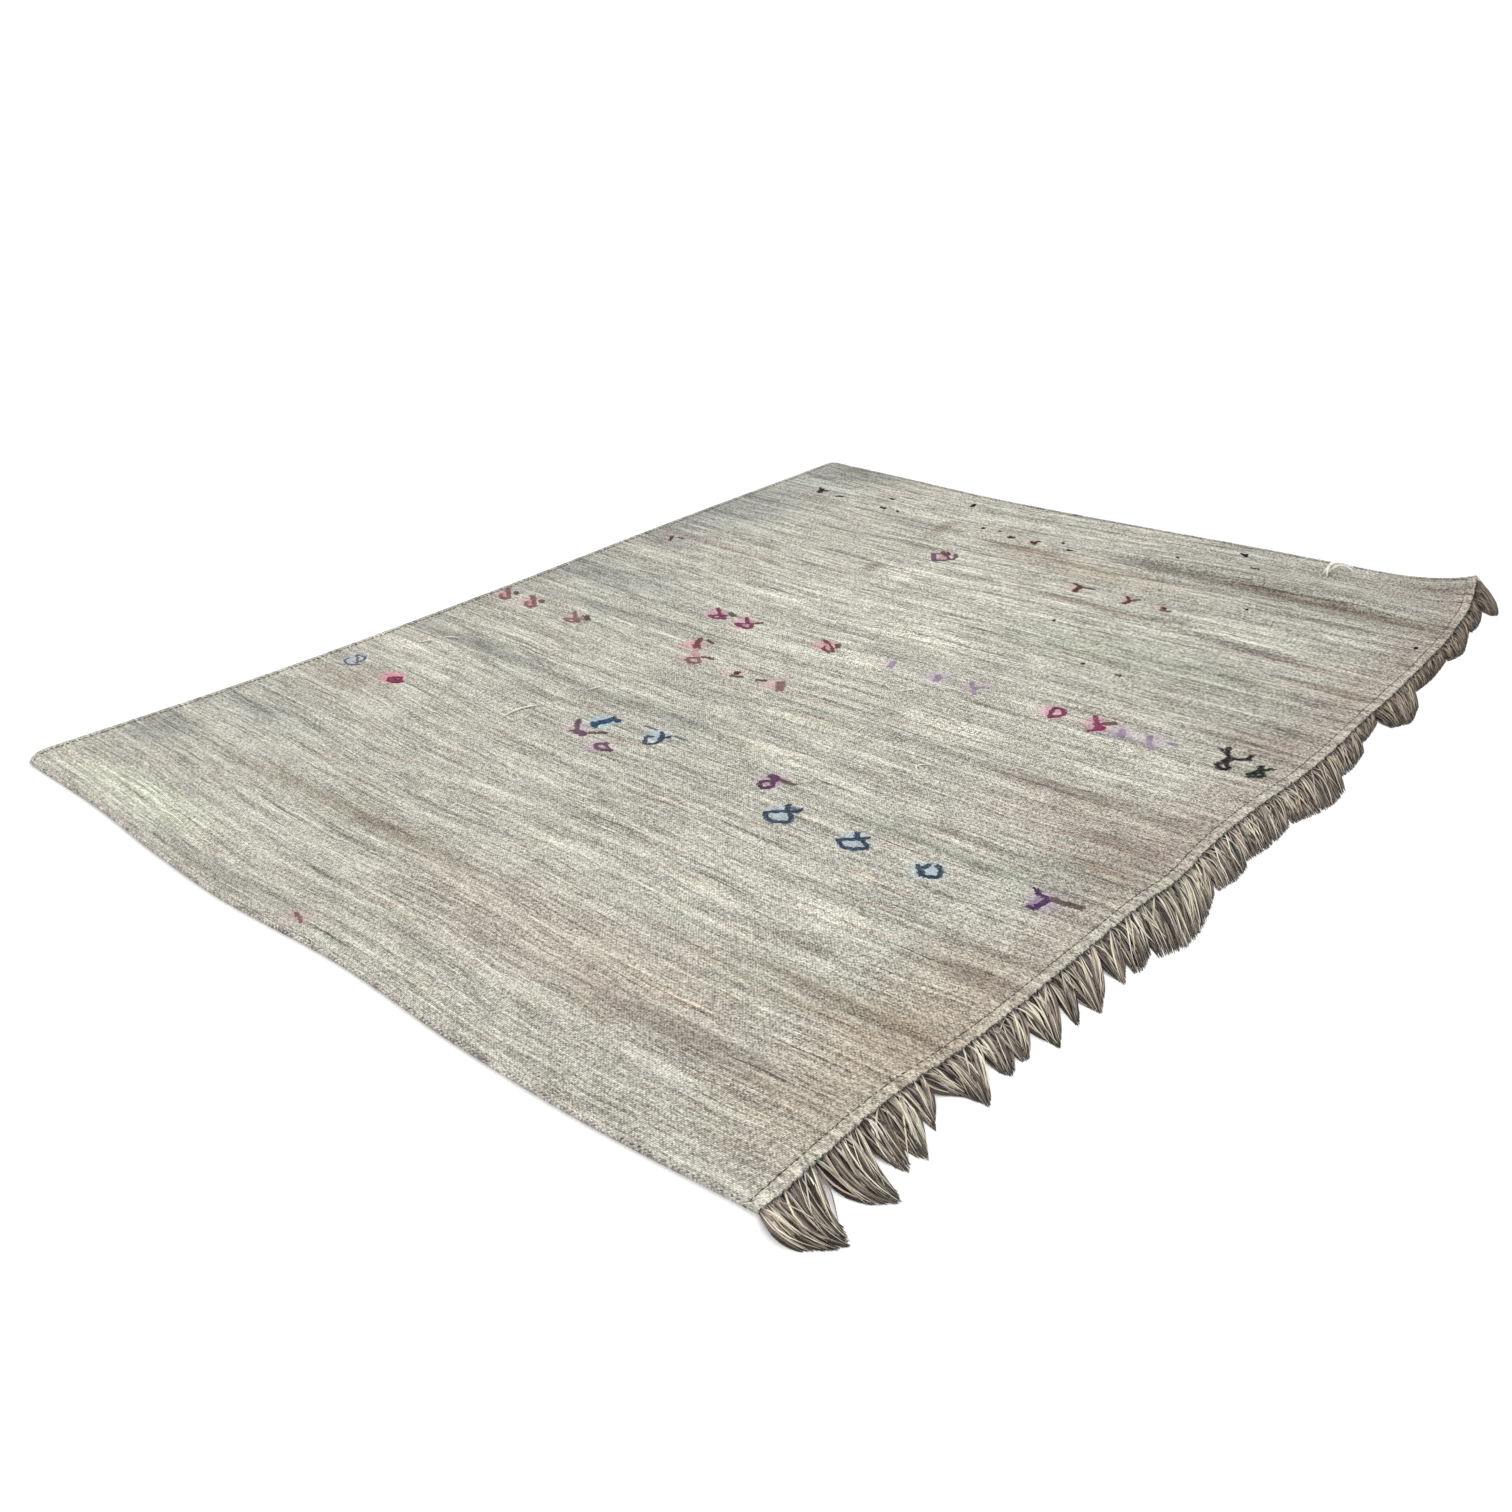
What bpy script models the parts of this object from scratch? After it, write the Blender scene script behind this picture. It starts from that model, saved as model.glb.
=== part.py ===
"""Flat palm straw mat with a fringe of palm leaf ends along one long edge.

The mat lies on the floor. The origin is the middle of its underside, +X runs across the mat towards the
fringed hem, +Y runs along that hem and +Z is up. Lengths are in metres.
"""

import random
from collections import namedtuple

import bmesh
import bpy
import numpy as np
from mathutils import Vector

# The cloth
MAT_WIDTH = 2.20
MAT_LENGTH = 2.80
CLOTH_THICKNESS = 0.004
FRINGED_HEM_WIDTH = 0.024
FRINGED_HEM_THICKNESS = 0.0065
PLAIN_HEM_WIDTH = 0.018
PLAIN_HEM_THICKNESS = 0.0055
SELVAGE_WIDTH = 0.011
SELVAGE_THICKNESS = 0.0055
HEM_SLOPE = 0.002
WORN_CORNER_RADIUS = 0.062
BLUNT_CORNER_RADIUS = 0.020

# The corner that stands off the floor, where the fringed hem meets the far selvage
CURL_HEIGHT = 0.041
CURL_REACH = 0.30

# The mesh of the cloth
COARSE_STEP = 0.14
FOLD_STEP = 0.030

# The fringe
PIECE_GAP = 0.0003
STRIP_WIDTH = 0.005
STRIP_THICKNESS = 0.003
LOCK_PITCH = 0.0106
LOCK_WIDTH = 0.0088
LOCK_ROOT_DEPTH = 0.004
LOCK_BEND = 0.16
LOCK_BEND_REACH = 0.10
GATHER_POWER = 1.5
SHORTEST_LOCK = 0.86
SEED = 7

# The sections of a lock from its root to its tip: where it lies as a share of the length, its share of
# the full width, the share of the root's height above the floor that it keeps, and its own two heights.
LockSection = namedtuple("LockSection", "share width fall floor ridge")
LOCK_SECTIONS = (
    LockSection(share=0.00, width=0.55, fall=1.00, floor=0.0006, ridge=0.0018),
    LockSection(share=0.22, width=1.00, fall=0.70, floor=0.0000, ridge=0.0042),
    LockSection(share=0.62, width=0.80, fall=0.00, floor=0.0000, ridge=0.0052),
    LockSection(share=1.00, width=0.00, fall=0.00, floor=0.0000, ridge=0.0000),
)

HALF_WIDTH = MAT_WIDTH / 2
HALF_LENGTH = MAT_LENGTH / 2

# How far each edge of the cloth wanders off its straight line, outwards for the fringed hem and the far
# selvage and inwards for the plain hem; the near selvage bows outwards, which is negative here.
EdgePoint = namedtuple("EdgePoint", "along offset")
PLAIN_HEM = (
    EdgePoint(along=-1.40, offset=0.005),
    EdgePoint(along=-0.90, offset=0.044),
    EdgePoint(along=-0.10, offset=0.050),
    EdgePoint(along=0.50, offset=0.030),
    EdgePoint(along=1.40, offset=0.020),
)
FRINGED_HEM = (
    EdgePoint(along=-1.40, offset=0.000),
    EdgePoint(along=-1.07, offset=-0.001),
    EdgePoint(along=-0.97, offset=0.010),
    EdgePoint(along=-0.56, offset=0.023),
    EdgePoint(along=-0.42, offset=0.026),
    EdgePoint(along=-0.32, offset=0.036),
    EdgePoint(along=-0.19, offset=0.027),
    EdgePoint(along=-0.02, offset=0.028),
    EdgePoint(along=0.20, offset=0.044),
    EdgePoint(along=0.55, offset=0.039),
    EdgePoint(along=0.85, offset=0.033),
    EdgePoint(along=1.10, offset=0.017),
    EdgePoint(along=1.26, offset=-0.004),
    EdgePoint(along=1.40, offset=-0.040),
)
NEAR_SELVAGE = (
    EdgePoint(along=-1.10, offset=-0.006),
    EdgePoint(along=-0.75, offset=-0.013),
    EdgePoint(along=-0.50, offset=-0.030),
    EdgePoint(along=-0.26, offset=-0.039),
    EdgePoint(along=0.16, offset=-0.023),
    EdgePoint(along=0.50, offset=-0.035),
    EdgePoint(along=0.72, offset=-0.033),
    EdgePoint(along=1.10, offset=-0.007),
)
FAR_SELVAGE = (
    EdgePoint(along=-1.10, offset=0.000),
    EdgePoint(along=-0.80, offset=-0.020),
    EdgePoint(along=-0.40, offset=-0.050),
    EdgePoint(along=0.00, offset=-0.050),
    EdgePoint(along=0.50, offset=-0.036),
    EdgePoint(along=1.10, offset=-0.040),
)

# Low ridges that run across the mat. The near side of each is the one towards -Y.
Fold = namedtuple("Fold", "x y half_length near_width far_width height slant")
FOLDS = (
    Fold(x=0.66, y=1.105, half_length=0.72, near_width=0.060, far_width=0.150, height=0.019, slant=-0.04),
    Fold(x=-0.12, y=1.050, half_length=0.52, near_width=0.070, far_width=0.110, height=0.007, slant=0.05),
    Fold(x=0.76, y=0.705, half_length=0.48, near_width=0.045, far_width=0.080, height=0.008, slant=-0.13),
    Fold(x=0.22, y=0.735, half_length=0.34, near_width=0.050, far_width=0.060, height=0.004, slant=-0.04),
    Fold(x=-0.42, y=-1.065, half_length=0.58, near_width=0.050, far_width=0.090, height=0.007, slant=-0.05),
    Fold(x=0.96, y=-0.330, half_length=0.24, near_width=0.060, far_width=0.060, height=0.004, slant=0.00),
    Fold(x=0.94, y=0.230, half_length=0.26, near_width=0.070, far_width=0.070, height=0.004, slant=0.02),
)

# How far the fringe leans towards -Y for each metre that it reaches out from the hem.
FRINGE_LEAN = (
    EdgePoint(along=-1.40, offset=0.46),
    EdgePoint(along=-1.20, offset=0.44),
    EdgePoint(along=-0.95, offset=0.65),
    EdgePoint(along=-0.55, offset=0.95),
    EdgePoint(along=0.10, offset=1.12),
    EdgePoint(along=1.00, offset=1.25),
    EdgePoint(along=1.40, offset=1.10),
)

# The clumps that the fringe lies in, from the near end to the far end. A clump's roots run along the hem
# from first to last and its longest lock reaches out from the hem. The locks draw in towards the one at
# aim, a share of the way from first to last: gather is the share of the clump's width that they lose on
# the way to their tips, and droop is how much shorter they are at a clump's side.
Clump = namedtuple("Clump", "first last out gather aim droop")
CLUMPS = (
    Clump(first=-1.396, last=-1.290, out=0.130, gather=0.30, aim=0.55, droop=0.35),
    Clump(first=-1.278, last=-1.190, out=0.136, gather=0.80, aim=0.50, droop=0.20),
    Clump(first=-1.190, last=-1.090, out=0.120, gather=0.20, aim=0.40, droop=0.12),
    Clump(first=-1.090, last=-1.044, out=0.092, gather=0.60, aim=0.30, droop=0.10),
    Clump(first=-1.044, last=-0.928, out=0.110, gather=0.50, aim=0.65, droop=0.30),
    Clump(first=-0.928, last=-0.821, out=0.098, gather=0.35, aim=0.45, droop=0.15),
    Clump(first=-0.821, last=-0.730, out=0.108, gather=0.70, aim=0.50, droop=0.12),
    Clump(first=-0.730, last=-0.685, out=0.102, gather=0.50, aim=0.40, droop=0.10),
    Clump(first=-0.685, last=-0.594, out=0.111, gather=0.45, aim=0.35, droop=0.20),
    Clump(first=-0.594, last=-0.533, out=0.103, gather=0.50, aim=0.45, droop=0.12),
    Clump(first=-0.533, last=-0.462, out=0.106, gather=0.35, aim=0.40, droop=0.12),
    Clump(first=-0.462, last=-0.230, out=0.121, gather=0.22, aim=0.40, droop=0.32),
    Clump(first=-0.230, last=-0.108, out=0.094, gather=0.15, aim=0.65, droop=0.15),
    Clump(first=-0.108, last=0.064, out=0.088, gather=0.12, aim=0.50, droop=0.10),
    Clump(first=0.064, last=0.286, out=0.100, gather=0.20, aim=0.70, droop=0.25),
    Clump(first=0.286, last=0.428, out=0.079, gather=0.10, aim=0.40, droop=0.15),
    Clump(first=0.428, last=0.619, out=0.062, gather=0.10, aim=0.40, droop=0.12),
    Clump(first=0.619, last=0.752, out=0.098, gather=0.45, aim=0.40, droop=0.40),
    Clump(first=0.752, last=0.964, out=0.056, gather=0.10, aim=0.50, droop=0.15),
    Clump(first=0.964, last=1.167, out=0.068, gather=0.18, aim=0.45, droop=0.30),
    Clump(first=1.167, last=1.298, out=0.056, gather=0.12, aim=0.50, droop=0.12),
    Clump(first=1.298, last=1.394, out=0.096, gather=0.25, aim=0.80, droop=0.15),
)


def clear_scene():
    """Remove every object that the scene starts with."""
    for obj in list(bpy.data.objects):
        bpy.data.objects.remove(obj, do_unlink=True)


def make_collection(name):
    """Make a collection in the scene."""
    collection = bpy.data.collections.new(name)
    bpy.context.scene.collection.children.link(collection)
    return collection


def make_material(name, colour, roughness):
    """Make a plain Principled material."""
    material = bpy.data.materials.new(name)
    material.use_nodes = True
    shader = material.node_tree.nodes["Principled BSDF"]
    shader.inputs["Base Color"].default_value = (*colour, 1.0)
    shader.inputs["Roughness"].default_value = roughness
    shader.inputs["Metallic"].default_value = 0.0
    return material


def object_from_bmesh(name, bm, collection, material):
    """Turn a finished bmesh into an object."""
    mesh = bpy.data.meshes.new(name)
    bm.to_mesh(mesh)
    bm.free()
    mesh.materials.append(material)
    obj = bpy.data.objects.new(name, mesh)
    collection.objects.link(obj)
    return obj


def edge_offset(points, along):
    """Read the smooth curve through an edge's points at one place along it."""
    places = [point.along for point in points]
    offsets = [point.offset for point in points]
    slopes = np.gradient(offsets, places)
    along = min(max(along, places[0]), places[-1])
    i = min(int(np.searchsorted(places, along, side="right")) - 1, len(points) - 2)
    span = places[i + 1] - places[i]
    t = (along - places[i]) / span
    start = (2 * t**3 - 3 * t**2 + 1) * offsets[i] + (t**3 - 2 * t**2 + t) * span * slopes[i]
    end = (3 * t**2 - 2 * t**3) * offsets[i + 1] + (t**3 - t**2) * span * slopes[i + 1]
    return start + end


def hump(distance):
    """A smooth hump, 1 in its middle and 0 from a distance of 1 outwards."""
    reach = min(abs(distance), 1.0)
    return (1.0 - reach**2) ** 2


def corner_inset(distance, radius):
    """How far a rounded corner draws an edge in, at a distance from the crossing edge."""
    reach = min(max(distance / radius, 0.0), 1.0)
    return radius * (1.0 - (1.0 - (1.0 - reach) ** 2) ** 0.5)


def place_in_plan(across, along):
    """Move a point of the straight rectangle to its place in the mat's real outline."""
    to_fringe = (across + HALF_WIDTH) / MAT_WIDTH
    to_far = (along + HALF_LENGTH) / MAT_LENGTH
    rounding = corner_inset(HALF_LENGTH + along, WORN_CORNER_RADIUS)
    rounding += corner_inset(HALF_LENGTH - along, BLUNT_CORNER_RADIUS)
    plain = edge_offset(PLAIN_HEM, along) + rounding
    fringed = edge_offset(FRINGED_HEM, along)
    near = edge_offset(NEAR_SELVAGE, across)
    far = edge_offset(FAR_SELVAGE, across)
    x = across + plain * (1.0 - to_fringe) + fringed * to_fringe
    y = along + near * (1.0 - to_far) + far * to_far
    return x, y


def lift(x, y):
    """Height of the mat's underside above the floor."""
    height = 0.0
    for fold in FOLDS:
        away = y - fold.y - fold.slant * (x - fold.x)
        side_width = fold.far_width if away > 0.0 else fold.near_width
        height += fold.height * hump((x - fold.x) / fold.half_length) * hump(away / side_width)
    corner_x, corner_y = place_in_plan(HALF_WIDTH, HALF_LENGTH)
    to_corner = max(corner_x - x, 0.0) + max(corner_y - y, 0.0)
    return height + CURL_HEIGHT * max(1.0 - to_corner / CURL_REACH, 0.0) ** 3


def thickness(across, along):
    """Thickness of the cloth, which is folded double at its hems and corded at its selvages."""
    if across > HALF_WIDTH - FRINGED_HEM_WIDTH - HEM_SLOPE / 2:
        return FRINGED_HEM_THICKNESS
    if across < -HALF_WIDTH + PLAIN_HEM_WIDTH + HEM_SLOPE / 2:
        return PLAIN_HEM_THICKNESS
    if abs(along) > HALF_LENGTH - SELVAGE_WIDTH - HEM_SLOPE / 2:
        return SELVAGE_THICKNESS
    return CLOTH_THICKNESS


def stations(start, end, step):
    """Evenly spaced places from start to end, both included."""
    count = max(round((end - start) / step), 1)
    return list(np.linspace(start, end, count + 1))


def mesh_columns():
    """Places across the mat where its mesh has a line."""
    plain_hem = -HALF_WIDTH + PLAIN_HEM_WIDTH
    fringed_hem = HALF_WIDTH - FRINGED_HEM_WIDTH
    curl = fringed_hem - CURL_REACH
    columns = [-HALF_WIDTH, plain_hem]
    columns += stations(plain_hem + HEM_SLOPE, curl, COARSE_STEP)
    columns += stations(curl, fringed_hem - HEM_SLOPE, CURL_REACH / 6)[1:]
    return columns + [fringed_hem, HALF_WIDTH]


def mesh_rows():
    """Places along the mat where its mesh has a line: close together on the folds and the curl."""
    selvage = HALF_LENGTH - SELVAGE_WIDTH
    cloth_end = selvage - HEM_SLOPE
    rows = [-HALF_LENGTH, -selvage, -cloth_end, -HALF_LENGTH + WORN_CORNER_RADIUS / 2]
    zones = [
        (-HALF_LENGTH + WORN_CORNER_RADIUS, -1.16, COARSE_STEP),
        (-1.16, -0.96, FOLD_STEP),
        (-0.96, -0.42, COARSE_STEP),
        (-0.42, -0.24, 2 * FOLD_STEP),
        (-0.24, 0.14, COARSE_STEP),
        (0.14, 0.30, 2 * FOLD_STEP),
        (0.30, 0.60, COARSE_STEP),
        (0.60, 0.86, FOLD_STEP),
        (0.86, 0.96, COARSE_STEP),
        (0.96, HALF_LENGTH - BLUNT_CORNER_RADIUS, FOLD_STEP),
    ]
    for start, end, step in zones:
        rows += stations(start, end, step)[:-1]
    return rows + [HALF_LENGTH - BLUNT_CORNER_RADIUS, cloth_end, selvage, HALF_LENGTH]


def grid_sheet(columns, rows, place):
    """Make a one-sided grid with a corner at each crossing of the given columns and rows."""
    bm = bmesh.new()
    bmesh.ops.create_grid(bm, x_segments=len(columns) - 1, y_segments=len(rows) - 1, size=1.0)
    for vert in bm.verts:
        column = round((vert.co.x + 1.0) / 2.0 * (len(columns) - 1))
        row = round((vert.co.y + 1.0) / 2.0 * (len(rows) - 1))
        vert.co = place(columns[column], rows[row])
    return bm


def thicken(obj, depth):
    """Give an open sheet its thickness, upwards from the surface that it lies on."""
    solidify = obj.modifiers.new("thickness", "SOLIDIFY")
    solidify.thickness = depth
    solidify.offset = 1.0
    return solidify


def make_mat(collection, rows):
    """The woven sheet, with its folds, its curled corner, its hems and its selvages."""
    columns = mesh_columns()
    bm = grid_sheet(columns, rows, lambda across, along: (across, along, 0.0))
    depths = bm.verts.layers.deform.verify()
    for vert in bm.verts:
        across, along, _ = vert.co
        vert[depths][0] = thickness(across, along) / FRINGED_HEM_THICKNESS
        x, y = place_in_plan(across, along)
        vert.co = (x, y, lift(x, y))
    straw = make_material("straw", colour=(0.50, 0.46, 0.37), roughness=0.75)
    mat = object_from_bmesh("mat", bm, collection, straw)
    mat.vertex_groups.new(name="depth")
    solidify = thicken(mat, FRINGED_HEM_THICKNESS)
    solidify.vertex_group = "depth"
    solidify.thickness_vertex_group = 0.0
    return mat


def hem_line(rows):
    """The foot of the fringed hem: a corner of the mat's mesh at each row, with straight lines between."""
    corners = [place_in_plan(HALF_WIDTH, along) for along in rows]
    return np.array([(along, x, y, lift(x, y)) for along, (x, y) in zip(rows, corners)])


def hem_point(line, along):
    """A point on the foot of the fringed hem."""
    return Vector([np.interp(along, line[:, 0], line[:, axis]) for axis in (1, 2, 3)])


def make_strip(collection, material, line):
    """The narrow strip that holds the fringe, along the whole of the fringed hem."""
    sides = [PIECE_GAP, PIECE_GAP + STRIP_WIDTH]
    bm = grid_sheet(sides, line[:, 0], lambda out, along: hem_point(line, along) + Vector((out, 0.0, 0.0)))
    strip = object_from_bmesh("fringe", bm, collection, material)
    thicken(strip, STRIP_THICKNESS)
    return strip


def lock_spine(clump, line, root, share):
    """Where the middle of a lock lies on the floor, at a share of its clump's full reach."""
    aim = clump.first + (clump.last - clump.first) * clump.aim
    drawn_in = (root - aim) * clump.gather * share**GATHER_POWER
    out = clump.out * share
    leaned = out * edge_offset(FRINGE_LEAN, root) * (1.0 - LOCK_BEND * (1.0 - out / LOCK_BEND_REACH))
    start = hem_point(line, root)
    start.x += PIECE_GAP + STRIP_WIDTH - LOCK_ROOT_DEPTH
    return Vector((start.x + out, start.y - drawn_in - leaned, 0.0))


def room_beside(line, root):
    """The share of its width that a leaning lock keeps where the hem slants towards it."""
    before = hem_point(line, root - LOCK_PITCH)
    after = hem_point(line, root + LOCK_PITCH)
    slant = (after.x - before.x) / (after.y - before.y)
    return min(1.0 + slant * edge_offset(FRINGE_LEAN, root), 1.0)


def add_lock(bm, clump, line, root, length):
    """Add one lock: a three-sided cone that leaves the strip, comes down and lies flat on the floor."""
    cone = bmesh.ops.create_cone(bm, cap_ends=True, segments=3, radius1=1.0, radius2=0.0, depth=1.0)
    geometry = {part for vert in cone["verts"] for part in (vert, *vert.link_edges, *vert.link_faces)}
    for section in LOCK_SECTIONS[1:-1]:
        cut = bmesh.ops.bisect_plane(
            bm, geom=list(geometry), plane_co=(0.0, 0.0, section.share - 0.5), plane_no=(0.0, 0.0, 1.0)
        )
        geometry = set(cut["geom"])
    root_height = hem_point(line, root).z
    root_width = LOCK_WIDTH * room_beside(line, root)
    for vert in [part for part in geometry if isinstance(part, bmesh.types.BMVert)]:
        section = min(LOCK_SECTIONS, key=lambda section: abs(section.share - 0.5 - vert.co.z))
        share = section.share * length
        is_ridge = vert.co.y > 0.0
        side = 0.0 if is_ridge else np.sign(vert.co.x)
        vert.co = lock_spine(clump, line, root, share)
        narrowing = 1.0 - clump.gather * share**GATHER_POWER
        vert.co.y += side * section.width * narrowing * root_width / 2
        vert.co.z = section.fall * root_height + section.floor
        if is_ridge:
            vert.co.z += section.ridge


def make_locks(collection, material, line):
    """The locks of the fringe, laid out side by side so that none crosses the next."""
    chance = random.Random(SEED)
    bm = bmesh.new()
    for clump in CLUMPS:
        count = round((clump.last - clump.first) / LOCK_PITCH)
        for number in range(count):
            across_clump = (number + 0.5) / count
            root = clump.first + (clump.last - clump.first) * across_clump
            aside = (across_clump - clump.aim) / max(clump.aim, 1.0 - clump.aim)
            shortening = clump.droop * abs(aside) ** 1.5
            length = (1.0 - shortening) * chance.uniform(SHORTEST_LOCK, 1.0)
            add_lock(bm, clump, line, root, length)
    bmesh.ops.recalc_face_normals(bm, faces=bm.faces)
    locks = object_from_bmesh("locks", bm, collection, material)
    locks.hide_render = True
    locks.display_type = "WIRE"
    return locks


def make_fringe(parts, cutters, rows):
    """The fringe: its strip and its locks, joined into one solid."""
    leaf = make_material("leaf", colour=(0.34, 0.29, 0.23), roughness=0.7)
    line = hem_line(rows)
    fringe = make_strip(parts, leaf, line)
    union = fringe.modifiers.new("locks", "BOOLEAN")
    union.operation = "UNION"
    union.solver = "EXACT"
    union.object = make_locks(cutters, leaf, line)
    return fringe


def main():
    """Build the mat and its fringe."""
    clear_scene()
    parts = make_collection("palm_straw_mat")
    cutters = make_collection("cutters")
    rows = mesh_rows()
    make_mat(parts, rows)
    make_fringe(parts, cutters, rows)


main()
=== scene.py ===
"""Looks of the flat palm straw mat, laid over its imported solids.

Lengths are in metres. (across, along) is a place on the straight rectangle that the mat was woven as:
across runs towards the fringed hem and along runs towards the curled corner. place_in_plan moves such
a place to the mat's real outline, with the same tables as the part's source. (x, y) is a place on the
floor.
"""

import math
from collections import namedtuple

import bpy
import numpy as np
from mathutils import Matrix, Vector, noise

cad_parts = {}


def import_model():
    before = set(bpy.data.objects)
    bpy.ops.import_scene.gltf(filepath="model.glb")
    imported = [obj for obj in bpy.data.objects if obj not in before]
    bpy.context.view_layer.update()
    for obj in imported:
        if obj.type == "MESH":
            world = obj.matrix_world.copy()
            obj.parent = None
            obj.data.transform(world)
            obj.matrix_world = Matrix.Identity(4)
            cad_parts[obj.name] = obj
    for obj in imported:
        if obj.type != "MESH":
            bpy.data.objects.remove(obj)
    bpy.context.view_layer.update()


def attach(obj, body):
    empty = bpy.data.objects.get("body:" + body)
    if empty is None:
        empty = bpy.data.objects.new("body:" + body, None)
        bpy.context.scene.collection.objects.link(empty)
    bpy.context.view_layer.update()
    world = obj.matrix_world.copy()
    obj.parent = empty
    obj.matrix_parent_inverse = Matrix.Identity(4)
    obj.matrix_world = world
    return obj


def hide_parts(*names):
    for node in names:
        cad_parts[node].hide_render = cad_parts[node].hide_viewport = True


def table(columns, *rows):
    """Rows of values under the names of their columns."""
    row = namedtuple("row", columns)
    return tuple(row(*values) for values in rows)


# The cloth
MAT_WIDTH = 2.20
MAT_LENGTH = 2.80
HALF_WIDTH = MAT_WIDTH / 2
HALF_LENGTH = MAT_LENGTH / 2
CLOTH_THICKNESS = 0.004
CLOTH_STEP = 0.013
COCKLE_HEIGHT = 0.0009
COCKLES = table("across along seed share", (3.0, 15.0, 0.0, 1.0), (11.0, 34.0, 5.0, 0.6))
WORN_CORNER_RADIUS = 0.062
BLUNT_CORNER_RADIUS = 0.020
CURL_HEIGHT = 0.041
CURL_REACH = 0.30
WEFT_PITCH = 0.0031
WARP_PITCH = 0.0031

# The hems. The crown is a hem's height from its fold to its seam, as a share of its thickness.
FRINGED_HEM_WIDTH = 0.024
FRINGED_HEM_THICKNESS = 0.0072
PLAIN_HEM_WIDTH = 0.018
PLAIN_HEM_THICKNESS = 0.0060
HEM_STEP = 0.005
HEM_OVERHANG = 0.0012
HEM_GAP = 0.0002
PUCKER_PITCH = 0.019
PUCKER_HEIGHT = 0.0007
PUCKER_DRIFT = 6.0
DRIFTS_PER_METRE = 9.0
HEM_CROWN = table(
    "share height",
    (0.0, 0.10), (0.04, 0.62), (0.14, 0.88), (0.32, 1.0), (0.5, 1.0), (0.68, 0.98), (0.86, 0.90),
    (0.96, 0.72), (1.0, 0.45),
)

# The seams. The strays are how far a stitch lies off its place, and off the direction of the seam.
SEAM_ASIDE = 0.0015
FRINGED_SEAM_HEIGHT = 0.0058
PLAIN_SEAM_HEIGHT = 0.0050
SEAM_START = 0.010
SEAM_END = 0.008
SEAM_YARN_WIDTH = 0.0019
SEAM_YARN_HEIGHT = 0.0016
SEAM_THREAD = (0.30, 0.26, 0.22)
STITCH_PITCH = 0.0125
STITCH_LENGTHS = (0.0062, 0.0088)
STRAY_ALONG = 0.0008
STRAY_ACROSS = 0.0006
STRAY_SLANT = 0.0005
AHEAD_ON_SEAM = 0.004
STITCH_SIDES = 5
STITCH_SHAPE = table("share fullness", (0.0, 0.28), (0.22, 1.0), (0.78, 1.0), (1.0, 0.28))

# The corded selvages
CORD_WIDTH = 0.0120
CORD_HEIGHT = 0.0070
CORD_TURN = 0.020
CORD_INSET = 0.003
CORD_END_GAP = 0.005
CORD_FLOOR_GAP = 0.0008
PLY_RADIUS = 0.30 * CORD_HEIGHT
SECTIONS_PER_TURN = 7

# How far each edge of the cloth wanders off its straight line, outwards for the fringed hem and the far
# selvage and inwards for the plain hem; the near selvage bows outwards, which is negative here.
PLAIN_HEM = table(
    "along offset",
    (-1.4, 0.005), (-0.9, 0.044), (-0.1, 0.05), (0.5, 0.03), (1.4, 0.02),
)
FRINGED_HEM = table(
    "along offset",
    (-1.4, 0.0), (-1.07, -0.001), (-0.97, 0.01), (-0.56, 0.023), (-0.42, 0.026), (-0.32, 0.036),
    (-0.19, 0.027), (-0.02, 0.028), (0.2, 0.044), (0.55, 0.039), (0.85, 0.033), (1.1, 0.017),
    (1.26, -0.004), (1.4, -0.04),
)
NEAR_SELVAGE = table(
    "along offset",
    (-1.1, -0.006), (-0.75, -0.013), (-0.5, -0.03), (-0.26, -0.039), (0.16, -0.023), (0.5, -0.035),
    (0.72, -0.033), (1.1, -0.007),
)
FAR_SELVAGE = table(
    "along offset",
    (-1.1, 0.0), (-0.8, -0.02), (-0.4, -0.05), (0.0, -0.05), (0.5, -0.036), (1.1, -0.04),
)

# Low ridges that run across the mat. The near side of each is the one towards -Y.
FOLDS = table(
    "x y half_length near_width far_width height slant",
    (0.66, 1.105, 0.72, 0.06, 0.15, 0.019, -0.04),
    (-0.12, 1.05, 0.52, 0.07, 0.11, 0.007, 0.05),
    (0.76, 0.705, 0.48, 0.045, 0.08, 0.008, -0.13),
    (0.22, 0.735, 0.34, 0.05, 0.06, 0.004, -0.04),
    (-0.42, -1.065, 0.58, 0.05, 0.09, 0.007, -0.05),
    (0.96, -0.33, 0.24, 0.06, 0.06, 0.004, 0.0),
    (0.94, 0.23, 0.26, 0.07, 0.07, 0.004, 0.02),
)

# How far the fringe leans towards -Y for each metre that it reaches out from the hem.
FRINGE_LEAN = table(
    "along offset",
    (-1.4, 0.46), (-1.2, 0.44), (-0.95, 0.65), (-0.55, 0.95), (0.1, 1.12), (1.0, 1.25), (1.25, 1.05),
    (1.4, 0.28),
)

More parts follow.
